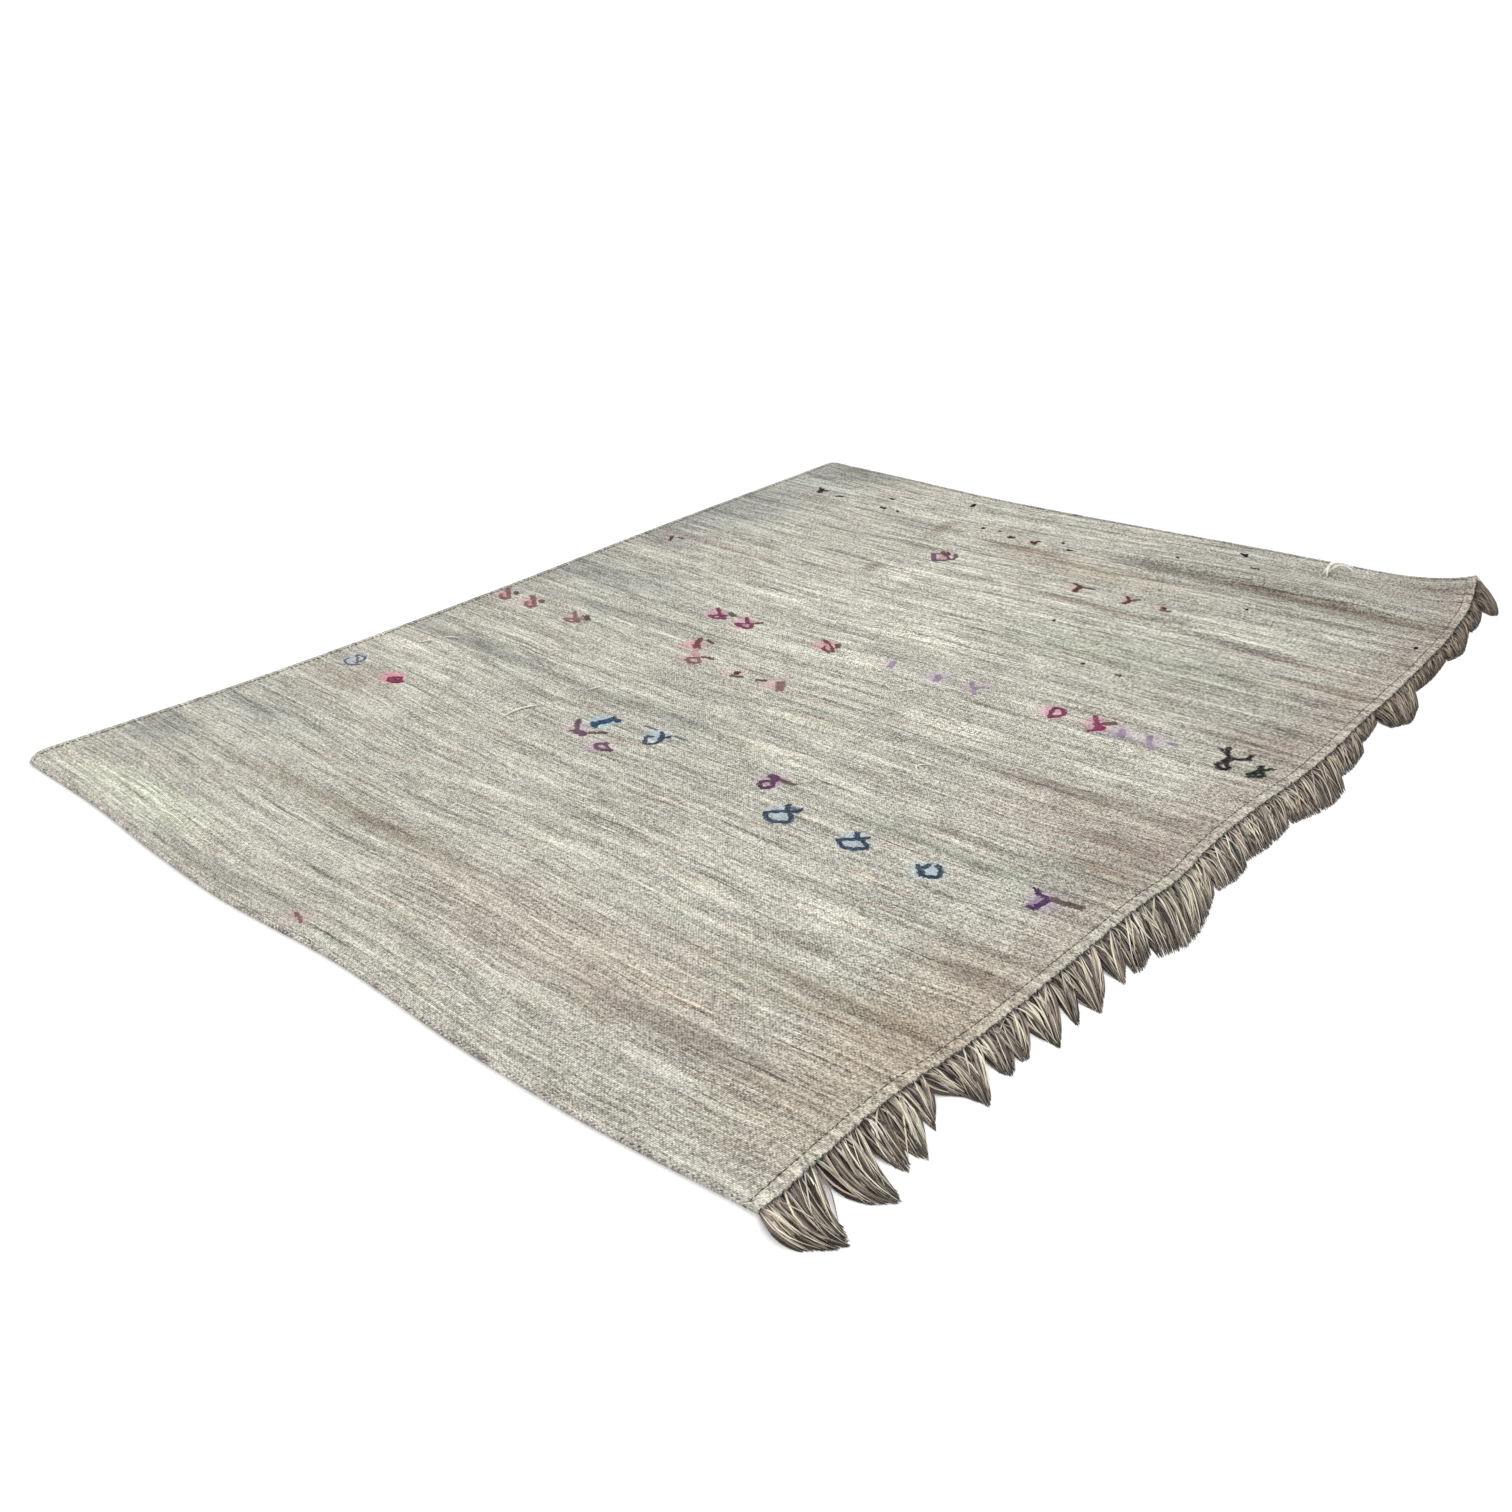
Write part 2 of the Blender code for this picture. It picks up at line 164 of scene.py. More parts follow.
# The clumps that the fringe lies in, from the near end to the far end, as in the part's source. The curl
# is how far the tips swing back towards +Y, and points is how many small pointed locks a clump ends in.
CLUMPS = table(
    "first last out gather aim droop curl points",
    (-1.396, -1.29, 0.134, 0.6, 0.58, 0.32, 0.03, 0),
    (-1.278, -1.19, 0.14, 0.62, 0.6, 0.24, 0.026, 0),
    (-1.19, -1.09, 0.122, 0.16, 0.6, 0.12, 0.004, 2),
    (-1.09, -1.044, 0.092, 0.4, 0.3, 0.1, 0.0, 1),
    (-1.044, -0.928, 0.11, 0.36, 0.75, 0.3, 0.0, 1),
    (-0.928, -0.821, 0.094, 0.12, 0.45, 0.12, 0.0, 2),
    (-0.821, -0.73, 0.108, 0.3, 0.6, 0.16, 0.0, 1),
    (-0.73, -0.685, 0.102, 0.14, 0.4, 0.08, 0.0, 1),
    (-0.685, -0.594, 0.11, 0.14, 0.45, 0.14, 0.0, 1),
    (-0.594, -0.533, 0.1, 0.2, 0.45, 0.12, 0.0, 1),
    (-0.533, -0.462, 0.1, 0.12, 0.4, 0.12, 0.0, 0),
    (-0.462, -0.23, 0.117, 0.12, 0.35, 0.32, 0.0, 0),
    (-0.23, -0.108, 0.092, 0.05, 0.65, 0.12, 0.0, 0),
    (-0.108, 0.064, 0.086, 0.04, 0.5, 0.1, 0.0, 0),
    (0.064, 0.286, 0.094, 0.08, 0.7, 0.2, 0.0, 0),
    (0.286, 0.428, 0.064, 0.04, 0.4, 0.15, 0.0, 0),
    (0.428, 0.54, 0.038, 0.04, 0.3, 0.3, 0.0, 0),
    (0.54, 0.752, 0.084, 0.44, 0.58, 0.3, 0.0, 0),
    (0.752, 0.964, 0.042, 0.04, 0.5, 0.15, 0.0, 0),
    (0.964, 1.167, 0.057, 0.06, 0.45, 0.4, 0.0, 0),
    (1.167, 1.298, 0.047, 0.06, 0.5, 0.12, 0.0, 0),
    (1.298, 1.394, 0.09, 0.36, 0.62, 0.32, -0.032, 0),
)

# How the blades of the fringe bend and draw together: a whole clump, and each small lock at its point.
# A blade at a lock's side is shorter than one in its middle. Each starts a little inside the hem, falls to
# the floor within a share of its length, and rests on the blades below it.
ROOT_INSET = 0.004
ROOT_PAST_CLUMP = 0.001
FALL_SHARE = 0.75
FALL_POWER = 1.3
REST_HEIGHT = 0.0006
REST_SHARE = 0.32
SIDE_SHORTER = 0.24
LOCK_SHIFT = 0.15
LOCK_BEND = 0.16
LOCK_BEND_REACH = 0.10
GATHER_POWER = 1.5
LOCK_GATHER = 0.30

# The layers that the leaf ends lie in, from the floor up, and the shape of one end from root to tip.
# A layer's tone is how far down the leaf tones its blades lie: the lower layers are darker, as painted
# shade under the blades above.
LAYERS = table(
    "spacing low high width stray shortest tone spread",
    (0.003, 0.0, 0.002, 0.0062, 0.003, 0.95, 4.8, 0.7),
    (0.003, 0.002, 0.006, 0.0046, 0.01, 0.84, 3.8, 1.5),
    (0.0036, 0.005, 0.01, 0.0038, 0.017, 0.72, 2.3, 1.9),
    (0.0085, 0.007, 0.012, 0.0028, 0.03, 0.6, 0.4, 0.8),
)
BLADE_WIDTHS = (0.65, 1.25)
BLADE_TONES = 0.012
BLADE_FLOOR_GAP = 0.0003
BLADE_THICKNESS = 0.0008
RIDGE_HEIGHT = 0.0004
RIDGE_STEEPNESS = 0.5
BLADE_ROLL = 0.40
BLADE_TWIST = 0.55
BLADE_BOW = 0.0055
BLADE_SHAPE = table(
    "share fullness",
    (0.0, 0.55), (0.07, 0.66), (0.13, 0.78), (0.28, 0.95), (0.46, 1.0), (0.64, 0.90), (0.80, 0.66),
    (0.92, 0.36), (1.0, 0.05),
)

# How far apart the blades lie in the leaf's fibres, so that no two show the same ones, and the tones that
# a blade lies between, from pale to dark.
OWN_PLACE = (0.02, 0.37)
LEAF_TONES = (
    (0.955, 0.938, 0.875),
    (0.810, 0.783, 0.725),
    (0.672, 0.638, 0.588),
    (0.545, 0.507, 0.464),
    (0.41, 0.368, 0.330),
    (0.27, 0.236, 0.205),
)

# How dark the painted shade makes a blade in the hem's shadow and at its tip, and how far each of these
# reaches.
SHADE_IN_HEM = 0.10
SHADE_START = 0.006
SHADE_REACH = 0.010
TIP_SHADE = 0.24
TIP_SHARE = 0.38

# How much of its lightness the straw of the fringe has kept, from the near end to the far end, and how
# much of that each part of the colour takes: blue the most, so that old straw is browner.
FRINGE_AGE = table(
    "along offset",
    (-1.4, 1.0), (-0.5, 1.0), (0.1, 0.93), (0.6, 0.76), (1.4, 0.68),
)
AGEING = (0.93, 1.10, 1.23)

# Soft patches where the straw is darker (a negative shade) or lighter, and tends towards a hue. Most are
# the straw's own tones, but the long thin dark rows along the folds, and along low ripples at y -0.17,
# -0.38 and -0.5, paint the shade on their near slopes, and the light row at (0.78, 0.725) paints the light
# on a fold's crest. The strength is how much of its shade a patch takes.
PATCH_STRENGTH = 1.4
HUES = {
    "straw": (1.00, 1.00, 1.00),
    "grey": (0.985, 1.00, 1.012),
    "pink": (1.022, 0.987, 0.982),
    "brown": (1.025, 0.987, 0.955),
    "green": (0.985, 1.008, 0.985),
}
PATCHES = table(
    "x y half_length half_width slant shade hue",
    (-0.9, 1.34, 0.34, 0.14, 0.0, -0.17, "grey"),
    (-0.98, 0.9, 0.26, 0.34, 0.0, -0.1, "grey"),
    (-1.04, 0.3, 0.12, 1.2, 0.0, -0.07, "straw"),
    (0.62, 1.06, 0.6, 0.035, -0.03, -0.13, "brown"),
    (-0.42, 1.01, 0.26, 0.045, 0.0, -0.1, "straw"),
    (-0.02, 1.0, 0.24, 0.06, 0.02, -0.1, "brown"),
    (-0.34, 1.02, 0.04, 0.13, 0.0, -0.14, "brown"),
    (-0.31, 0.64, 0.035, 0.05, 0.0, -0.12, "brown"),
    (-0.58, 0.85, 0.24, 0.025, 0.03, -0.07, "straw"),
    (-0.66, 0.73, 0.24, 0.025, 0.1, -0.06, "straw"),
    (0.3, 0.72, 0.28, 0.025, -0.02, -0.1, "brown"),
    (0.78, 0.725, 0.3, 0.03, -0.13, 0.07, "green"),
    (0.86, 0.665, 0.3, 0.025, -0.12, -0.08, "pink"),
    (1.04, 0.57, 0.16, 0.04, 0.0, -0.14, "brown"),
    (-0.8, 0.53, 0.4, 0.035, -0.05, -0.08, "pink"),
    (0.52, 0.5, 0.6, 0.12, 0.0, -0.05, "green"),
    (-0.2, 0.66, 0.1, 0.16, 0.0, 0.09, "straw"),
    (-0.34, 0.33, 0.14, 0.04, 0.0, 0.1, "straw"),
    (0.1, 0.3, 0.26, 0.055, 0.0, 0.11, "straw"),
    (-0.9, 0.16, 0.5, 0.15, 0.0, -0.06, "grey"),
    (-0.02, 0.19, 0.36, 0.018, 0.02, -0.06, "straw"),
    (0.06, 0.1, 0.12, 0.06, 0.0, 0.09, "straw"),
    (1.0, 0.24, 0.2, 0.07, 0.0, -0.09, "pink"),
    (0.78, 0.06, 0.18, 0.03, 0.0, 0.07, "straw"),
    (-0.74, -0.02, 0.4, 0.05, 0.03, -0.1, "grey"),
    (0.46, -0.07, 0.2, 0.05, -0.02, 0.1, "straw"),
    (0.82, -0.17, 0.42, 0.042, 0.03, -0.14, "pink"),
    (1.0, -0.3, 0.16, 0.028, 0.0, -0.13, "pink"),
    (1.02, -0.39, 0.16, 0.028, 0.0, -0.12, "brown"),
    (-0.78, -0.38, 0.42, 0.055, -0.02, -0.14, "grey"),
    (-0.12, -0.4, 0.34, 0.045, 0.0, -0.1, "grey"),
    (-0.82, -0.5, 0.38, 0.035, 0.0, 0.07, "straw"),
    (0.24, -0.38, 0.14, 0.04, 0.03, 0.07, "straw"),
    (0.74, -0.5, 0.4, 0.028, 0.0, -0.1, "green"),
    (-0.88, -0.7, 0.26, 0.12, 0.0, -0.06, "pink"),
    (0.04, -0.62, 0.6, 0.025, 0.02, -0.05, "straw"),
    (0.72, -0.81, 0.16, 0.04, 0.0, 0.1, "straw"),
    (1.02, -0.8, 0.18, 0.045, 0.0, -0.13, "pink"),
    (0.9, -0.98, 0.36, 0.035, 0.01, -0.11, "brown"),
    (-0.86, -0.94, 0.34, 0.06, 0.02, -0.08, "grey"),
    (-0.24, -1.1, 0.56, 0.035, -0.01, -0.13, "brown"),
    (-1.0, -1.14, 0.16, 0.11, 0.0, -0.1, "grey"),
    (0.76, -1.2, 0.46, 0.05, 0.0, -0.11, "pink"),
    (-0.7, -1.32, 0.46, 0.075, 0.0, 0.1, "green"),
    (-0.24, -1.39, 0.4, 0.035, 0.0, -0.08, "straw"),
    (1.08, 0.0, 0.14, 1.9, 0.0, -0.07, "pink"),
    (1.14, 1.1, 0.14, 1.0, 0.0, -0.025, "pink"),
    (0.86, 1.12, 0.78, 0.44, 0.0, -0.085, "straw"),
    (0.9, 1.04, 0.36, 0.045, -0.02, -0.15, "brown"),
    (0.4, 1.075, 0.4, 0.035, -0.02, -0.07, "straw"),
    (0.82, 0.675, 0.36, 0.026, -0.1, -0.12, "straw"),
    (-0.98, 1.2, 0.24, 0.12, 0.0, -0.06, "grey"),
    (0.98, 1.28, 0.26, 0.13, 0.0, -0.07, "pink"),
    (-0.94, 0.48, 0.16, 0.12, 0.0, -0.06, "straw"),
    (-0.96, 0.66, 0.24, 0.3, 0.0, -0.03, "grey"),
    (0.9, -1.03, 0.28, 0.03, 0.01, -0.09, "brown"),
    (0.45, -1.15, 0.62, 0.18, 0.0, -0.015, "pink"),
    (0.92, -0.26, 0.34, 0.2, 0.0, -0.04, "pink"),
    (0.86, 0.36, 0.5, 0.26, 0.0, -0.03, "straw"),
    (0.22, 0.95, 0.4, 0.1, 0.0, -0.05, "brown"),
    (0.05, 0.5, 0.48, 0.34, 0.0, 0.04, "straw"),
    (0.1, 0.05, 0.5, 0.2, 0.0, 0.026, "straw"),
    (0.45, -0.85, 0.4, 0.16, 0.0, 0.022, "straw"),
    (1.09, 1.2, 0.05, 0.16, 0.0, 0.05, "straw"),
    (1.02, -1.02, 0.18, 0.44, 0.0, -0.012, "brown"),
    (0.98, -0.42, 0.16, 0.13, 0.0, -0.05, "straw"),
    (0.9, 0.58, 0.16, 0.07, 0.0, -0.05, "straw"),
)

# The wool marks. A form is a few strokes of yarn, each a width, a wool and its points, in millimetres
# from the middle of the mark. A stroke without a wool of its own takes the mark's.
MILLIMETRE = 0.001
LEFT_ARM = (7, "", (-26, 24), (-6, 8), (10, -7), (22, -17))
BROAD_ARM = (10, "", (-22, 21), (-8, 8), (8, -8))
RIGHT_ARM = (12, "brown", (22, 20), (32, 13), (46, 7))
FORMS = {
    "cross": (
        LEFT_ARM,
        RIGHT_ARM,
        (7, "", (26, -3), (8, -13), (-10, -24)),
        (8, "", (-10, -24), (14, -34), (38, -20)),
        (7, "", (38, -20), (28, -12), (18, -4)),
    ),
    "thick_cross": (
        BROAD_ARM,
        (10, "brown", (32, 17), (28, 8), (18, 0)),
        (8, "", (20, 0), (4, -12), (-16, -26)),
        (8, "", (-16, -26), (18, -35), (36, -30), (20, -4)),
        (10, "blush", (8, -16), (20, -26)),
    ),
    "full_cross": (
        (9, "", (-28, 18), (-12, 10), (4, -2)),
        (12, "brown", (17, 17), (24, 8), (28, 0)),
        (10, "", (4, 0), (20, -12), (34, -28)),
        (9, "", (0, -10), (6, -28), (30, -34)),
        (14, "blush", (-8, 0), (6, -10), (18, -22)),
    ),
    "broad_cross": (
        (11, "", (-28, 27), (-2, 8), (20, -10), (38, -24)),
        (11, "", (-4, -12), (12, -28), (36, -30)),
        (12, "brown", (18, 20), (26, 16), (30, 10)),
        (12, "blush", (-6, -2), (12, -16), (24, -24)),
    ),
    "blot": ((13, "", (-6, 6), (2, -8), (6, -22)),),
    "cup": (
        (9, "", (-20, 10), (-8, -8), (2, -9), (14, 6)),
        (8, "", (2, -9), (8, -24), (18, -36)),
    ),
    "ring": (
        (8, "", (-13, 13), (-9, -4), (-5, -17), (4, -33)),
        (7, "", (4, -33), (22, -14), (20, 3), (5, 18), (-12, 12)),
    ),
    "fork_loop": (
        (8, "", (-26, 24), (-15, 8), (-4, -5)),
        (12, "brown", (6, 3), (14, 10), (24, 20)),
        (15, "", (-4, -5), (5, -14), (6, -24)),
        (8, "", (14, -12), (16, -28), (6, -36), (-2, -46)),
    ),
    "boat": (
        (10, "", (-22, 9), (-15, -12), (-6, -28), (8, -44)),
        (9, "", (24, 4), (38, 3)),
    ),
    "horned": (
        (8, "", (-26, 46), (-20, 26), (-10, 14), (-2, 6)),
        (6, "", (-34, 31), (-22, 24)),
        (8, "", (26, 40), (28, 21), (16, 12), (4, 6)),
        (5, "", (24, 22), (33, 20)),
        (16, "", (-2, 8), (-3, -4), (-6, -13)),
        (7, "", (2, -12), (-3, -20), (-12, -33)),
        (7, "", (-4, -14), (4, -26), (18, -36), (4, -51), (-13, -34)),
    ),
    "filled_cross": (
        (9, "", (-8, 18), (-4, 8), (0, 0)),
        (10, "", (15, 20), (6, 8), (0, 0)),
        (13, "", (0, 2), (-4, -12), (-11, -30)),
        (9, "", (2, -4), (16, -16), (4, -28), (-8, -36)),
    ),
    "slanted_knot": (
        (12, "", (-18, 36), (-9, 16), (3, 0)),
        (17, "", (2, -2), (12, -10), (21, -17)),
        (9, "brown", (6, 38), (18, 33), (29, 30)),
        (15, "blush", (20, -22), (40, -42), (58, -58)),
    ),
    "open_knot": (
        (8, "", (5, 4), (31, -16), (11, -29), (-20, -13), (5, 4)),
        (9, "brown", (12, 14), (24, 20), (39, 19)),
    ),
    "knot": (
        (13, "", (2, 3), (8, -7)),
        (9, "brown", (6, -20), (18, -20), (28, -13)),
    ),
    "smear": ((16, "", (4, 14), (14, 2), (24, -12), (33, -22)),),
    "zigzag": (
        (11, "", (2, 23), (14, 20), (27, 20)),
        (19, "", (8, 14), (6, 0), (-6, -14), (-2, -26)),
        (9, "", (-15, -18), (-6, -28), (7, -31)),
    ),
    "hooked_loop": (
        (6, "", (-10, -14), (-20, -22), (-8, -40), (8, -47), (22, -30), (16, -10)),
        (10, "", (-9, 15), (4, 8), (10, -8)),
        (10, "", (20, 8), (15, -2)),
        (4, "slate", (-60, 18), (-46, 17), (-32, 18)),
        (4, "slate", (30, 19), (44, 18), (62, 19)),
    ),
    "bowed_ring": (
        (13, "", (-22, 7), (-12, 12), (3, 3)),
        (10, "", (-10, 4), (-4, -8)),
        (8, "brown", (8, 8), (26, 5), (41, 8)),
        (7, "", (-6, -8), (9, -14), (12, -30), (0, -42), (-15, -36), (-23, -22), (-6, -8)),
    ),
    "long_vee": (
        (8, "", (-41, 20), (-28, 4), (-10, -12)),
        (17, "", (-10, -20), (8, -23), (25, -20)),
        (8, "brown", (30, -8), (44, 2), (57, 12)),
    ),
    "wedge": (
        (9, "", (1, 14), (-9, 4), (-15, -6), (4, -17), (20, -14), (33, -5)),
        (6, "", (33, -5), (14, 2), (2, 6)),
    ),
    "jar": (
        (8, "", (4, 8), (20, -3), (34, -19), (20, -32), (6, -40)),
        (10, "", (6, -40), (-14, -37), (-30, -22)),
        (7, "", (-30, -22), (-14, -5), (4, 8)),
        (8, "", (4, 8), (-10, 20), (-13, 28)),
        (8, "", (5, 8), (18, 18), (18, 30)),
        (7, "slate", (-5, 23), (9, 24)),
    ),
    "crowned": (
        (7, "", (-2, 8), (16, 2), (36, -12), (18, -26), (0, -36)),
        (10, "", (0, -36), (-14, -32), (-29, -20)),
        (7, "", (-29, -20), (-16, -6), (-2, 8)),
        (7, "", (-18, 22), (-10, 12), (-2, 6)),
        (10, "", (9, 20), (2, 8)),
    ),
    "ticked": (
        (10, "", (-28, -2), (-20, -10), (-8, -16)),
        (7, "", (-12, -18), (4, -26), (31, -14), (14, 12), (2, 18)),
        (7, "", (-12, 10), (-14, -4)),
    ),
    "wye": (
        (11, "", (-2, 4), (-3, -14), (-8, -34)),
        (12, "lavender", (-13, -2), (-14, -16), (-16, -28)),
        (9, "", (-14, -36), (-6, -38)),
        (10, "", (-36, 20), (-24, 7), (-4, 6)),
        (12, "brown", (4, 7), (22, 8), (40, 13), (56, 14)),
    ),
    "curled": (
        (5, "", (-14, 13), (8, -3), (38, -24)),
        (4, "", (-14, 13), (6, 18), (24, 10), (27, -6)),
        (5, "", (-18, -14), (-12, -30), (20, -39), (40, -22)),
    ),
    "lozenge": (
        (8, "", (15, 5), (47, -13), (17, -28), (-10, -13), (15, 5)),
        (14, "", (4, -12), (18, -12), (34, -12)),
    ),
    "scrap": ((5, "", (-17, 2), (2, -2), (14, -8)),),
    "tee": (
        (9, "", (-13, 14), (-2, 7), (6, 0)),
        (17, "", (2, 6), (10, -10), (20, -28)),
        (7, "", (14, -2), (33, 0)),
    ),
    "sprig": (
        (9, "", (-21, 19), (-8, 14), (4, 8)),
        (14, "", (2, 10), (7, -14), (10, -36)),
        (8, "brown", (10, 6), (26, 9), (43, 10)),
    ),
    "shoot": (
        (9, "", (-16, 17), (-4, 4), (4, -8)),
        (12, "", (4, -8), (6, -22), (4, -36)),
        (9, "brown", (20, 14), (10, -4)),
    ),
    "locket": (
        (12, "", (-28, -4), (-12, -26), (8, -51)),
        (8, "", (8, -51), (26, -36), (43, -16)),
        (8, "brown", (45, -10), (42, 8), (27, 25)),
        (24, "wine", (-6, 21), (4, 11), (12, 8)),
        (14, "blush", (8, -8), (10, -28)),
        (7, "", (-16, 25), (-4, 16)),
        (7, "", (12, 2), (24, -8), (36, -16)),
        (6, "", (-24, -2), (-10, 6), (2, 10)),
    ),
    "hook": (
        (9, "", (-14, 3), (-4, -10), (8, -26)),
        (6, "", (12, 7), (30, 3)),
    ),
    "dash": ((7, "", (-12, -4), (0, 2), (6, 4)),),
}

# A mark is sewn in two courses: a wide worn one that lies low, and the fresher yarn on top of it. A
# stitch's length, its width and the spacing of the strands are shares of the course's yarn.
COURSES = table(
    "wider yarn step stray rise thick wear",
    (0.0024, 0.0052, 0.0052, 0.0016, 0.0001, 0.0008, 0.2),
    (-0.0006, 0.004, 0.004, 0.0011, 0.0003, 0.0014, 0.0),
)
STRAND_SPACING = 0.9
YARN_LENGTHS = (1.7, 2.5)
YARN_WIDTHS = (0.75, 1.1)
YARN_TURN = (0.35, 0.22)
YARN_UNEVEN = 0.0005
WEAR_SPREAD = 0.08
MOST_WORN = 0.7

# The yarn's colour, and the colour that it has lent to the straw around it.
Wool = namedtuple("Wool", "yarn halo")
WOOLS = {
    "magenta": Wool((0.48, 0.21, 0.33), (0.9, 0.67, 0.77)),
    "cerise": Wool((0.53, 0.16, 0.34), (0.9, 0.65, 0.76)),
    "wine": Wool((0.44, 0.24, 0.28), (0.92, 0.68, 0.72)),
    "rose": Wool((0.53, 0.39, 0.4), (0.9, 0.74, 0.76)),
    "blush": Wool((0.77, 0.61, 0.62), (0.92, 0.76, 0.78)),
    "crimson": Wool((0.5, 0.14, 0.3), (0.94, 0.6, 0.7)),
    "lavender": Wool((0.625, 0.55, 0.64), (0.81, 0.745, 0.82)),
    "purple": Wool((0.35, 0.21, 0.33), (0.84, 0.71, 0.83)),
    "violet": Wool((0.31, 0.18, 0.36), (0.78, 0.67, 0.82)),
    "plum": Wool((0.42, 0.31, 0.38), (0.88, 0.75, 0.83)),
    "navy": Wool((0.14, 0.28, 0.39), (0.74, 0.86, 0.94)),
    "blue": Wool((0.18, 0.26, 0.34), (0.76, 0.84, 0.91)),
    "slate": Wool((0.39, 0.44, 0.51), (0.8, 0.84, 0.91)),
    "green": Wool((0.05, 0.1, 0.04), (0.62, 0.7, 0.62)),
    "black": Wool((0.07, 0.02, 0.06), (0.72, 0.67, 0.7)),
    "maroon": Wool((0.32, 0.17, 0.155), (0.84, 0.7, 0.68)),
    "brown": Wool((0.39, 0.32, 0.32), (0.78, 0.74, 0.7)),
}
MARKS = table(
    "form x y wool stain",
    ("cross", -0.416, 0.13, "magenta", 0.95),
    ("thick_cross", -0.314, 0.128, "magenta", 0.95),
    ("full_cross", -0.047, 0.13, "wine", 1.0),
    ("blot", 0.149, 0.135, "lavender", 0.45),
    ("blot", 0.284, 0.132, "lavender", 1.0),
    ("cup", 0.384, 0.136, "lavender", 0.6),
    ("ring", 0.598, 0.13, "magenta", 1.0),
    ("fork_loop", 0.705, 0.132, "cerise", 0.95),
    ("blot", 0.764, 0.126, "lavender", 1.0),
    ("boat", 0.842, 0.13, "lavender", 0.85),
    ("horned", 0.998, 0.137, "black", 0.34),
    ("filled_cross", 1.067, 0.127, "green", 0.55),
    ("broad_cross", -1.006, -0.098, "rose", 0.85),
    ("broad_cross", -0.899, -0.098, "rose", 0.85),
    ("cross", -0.714, -0.108, "rose", 0.55),
    ("slanted_knot", -0.318, -0.058, "wine", 0.9),
    ("open_knot", -0.258, -0.122, "rose", 0.85),
    ("knot", -0.119, -0.128, "maroon", 0.42),
    ("dash", -0.036, -0.128, "brown", 0.0),
    ("smear", 0.0, -0.122, "rose", 0.75),
    ("zigzag", -0.174, -0.503, "navy", 1.0),
    ("hooked_loop", -0.02, -0.48, "blue", 0.95),
    ("bowed_ring", 0.32, -0.484, "purple", 0.9),
    ("long_vee", -0.184, -0.552, "plum", 0.6),
    ("wedge", -0.088, -0.588, "plum", 0.75),
    ("jar", 0.422, -0.576, "blue", 1.0),
    ("crowned", 0.602, -0.574, "blue", 0.95),
    ("ticked", 0.772, -0.576, "blue", 0.9),
    ("wye", 0.992, -0.536, "violet", 0.8),
    ("curled", -0.954, -0.622, "slate", 0.7),
    ("lozenge", -0.776, -0.634, "crimson", 1.0),
    ("scrap", -0.014, -1.384, "rose", 0.4),
    ("tee", -0.904, 1.13, "black", 0.2),
    ("dash", -0.8, 1.106, "black", 0.0),
    ("locket", -0.206, 0.83, "plum", 0.85),
    ("sprig", 0.236, 0.82, "maroon", 0.4),
    ("shoot", 0.39, 0.816, "maroon", 0.42),
    ("knot", 0.486, 0.812, "maroon", 0.4),
    ("hook", -0.956, 0.51, "maroon", 0.34),
)
STAIN_REACH = 0.048
STAIN_DRIFT = (-0.006, -0.004)

# Knots of dark yarn, and short ends of pale straw, that stand on the weave.
KNOT_HEIGHT = 0.0028
SPECKS = {
    "black": table(
        "x y size",
        (-0.644, 1.176, 0.023), (-0.39, 1.256, 0.026), (0.028, 1.09, 0.017),
        (0.07, 1.05, 0.02), (0.476, 1.29, 0.029), (0.562, 1.176, 0.02),
        (0.354, 1.14, 0.014), (0.66, 0.92, 0.014), (1.082, 0.912, 0.016),
    ),
    "maroon": table(
        "x y size",
        (-0.61, 1.088, 0.023), (-0.556, 1.082, 0.014), (-0.24, 1.08, 0.023),
        (-0.18, 1.078, 0.017), (-0.122, 1.044, 0.026), (-0.034, 1.044, 0.029),
        (0.51, 0.39, 0.012), (0.61, 0.376, 0.014), (0.31, 0.584, 0.014),
    ),
}
PALE_STRAW = (0.97, 0.96, 0.91)
STRAW_ENDS = table(
    "x y length turn bend thickness rise",
    (0.742, 1.3, 0.105, 70, 0.55, 0.008, 0.018),
    (0.704, 1.3, 0.08, 95, -0.2, 0.008, 0.018),
    (0.745, 1.29, 0.07, 30, 0.4, 0.008, 0.018),
    (0.266, 0.03, 0.052, 60, -0.35, 0.003, 0.002),
    (0.222, 0.016, 0.03, 150, 0.1, 0.003, 0.002),
    (0.53, -0.264, 0.04, 100, 0.9, 0.003, 0.002),
    (-0.326, -0.39, 0.045, 70, -0.25, 0.003, 0.002),
    (-0.86, -0.4, 0.05, 30, 0.3, 0.003, 0.002),
    (-0.9, -0.45, 0.04, 60, -0.2, 0.003, 0.002),
    (-0.366, -0.58, 0.1, 80, 0.2, 0.0046, 0.002),
    (0.64, -0.996, 0.02, 20, 0.2, 0.003, 0.002),
    (-0.82, 0.44, 0.03, 35, 0.2, 0.003, 0.002),
    (0.88, -0.06, 0.03, 10, 0.3, 0.003, 0.002),
)

# The stage
CAMERA_PLACE = Vector((2.115, -2.446, 1.399))
CAMERA_FORWARD = Vector((-0.6124, 0.6504, -0.4493))
CAMERA_UP = Vector((-0.2701, 0.3621, 0.8922))
CAMERA_LENS_MM = 35.2
SENSOR_MM = 36.0
SUN_STRENGTH = 1.3
SUN_WIDTH_DEGREES = 40.0
SUN_COLOUR = (1.0, 0.985, 0.96)
SUN_DIRECTION = Vector((0.45, -0.80, -0.95))
FLOOR_REACH = 60.0
FLOOR_DROP = 0.0004
SEED = 11


# The shape of the cloth


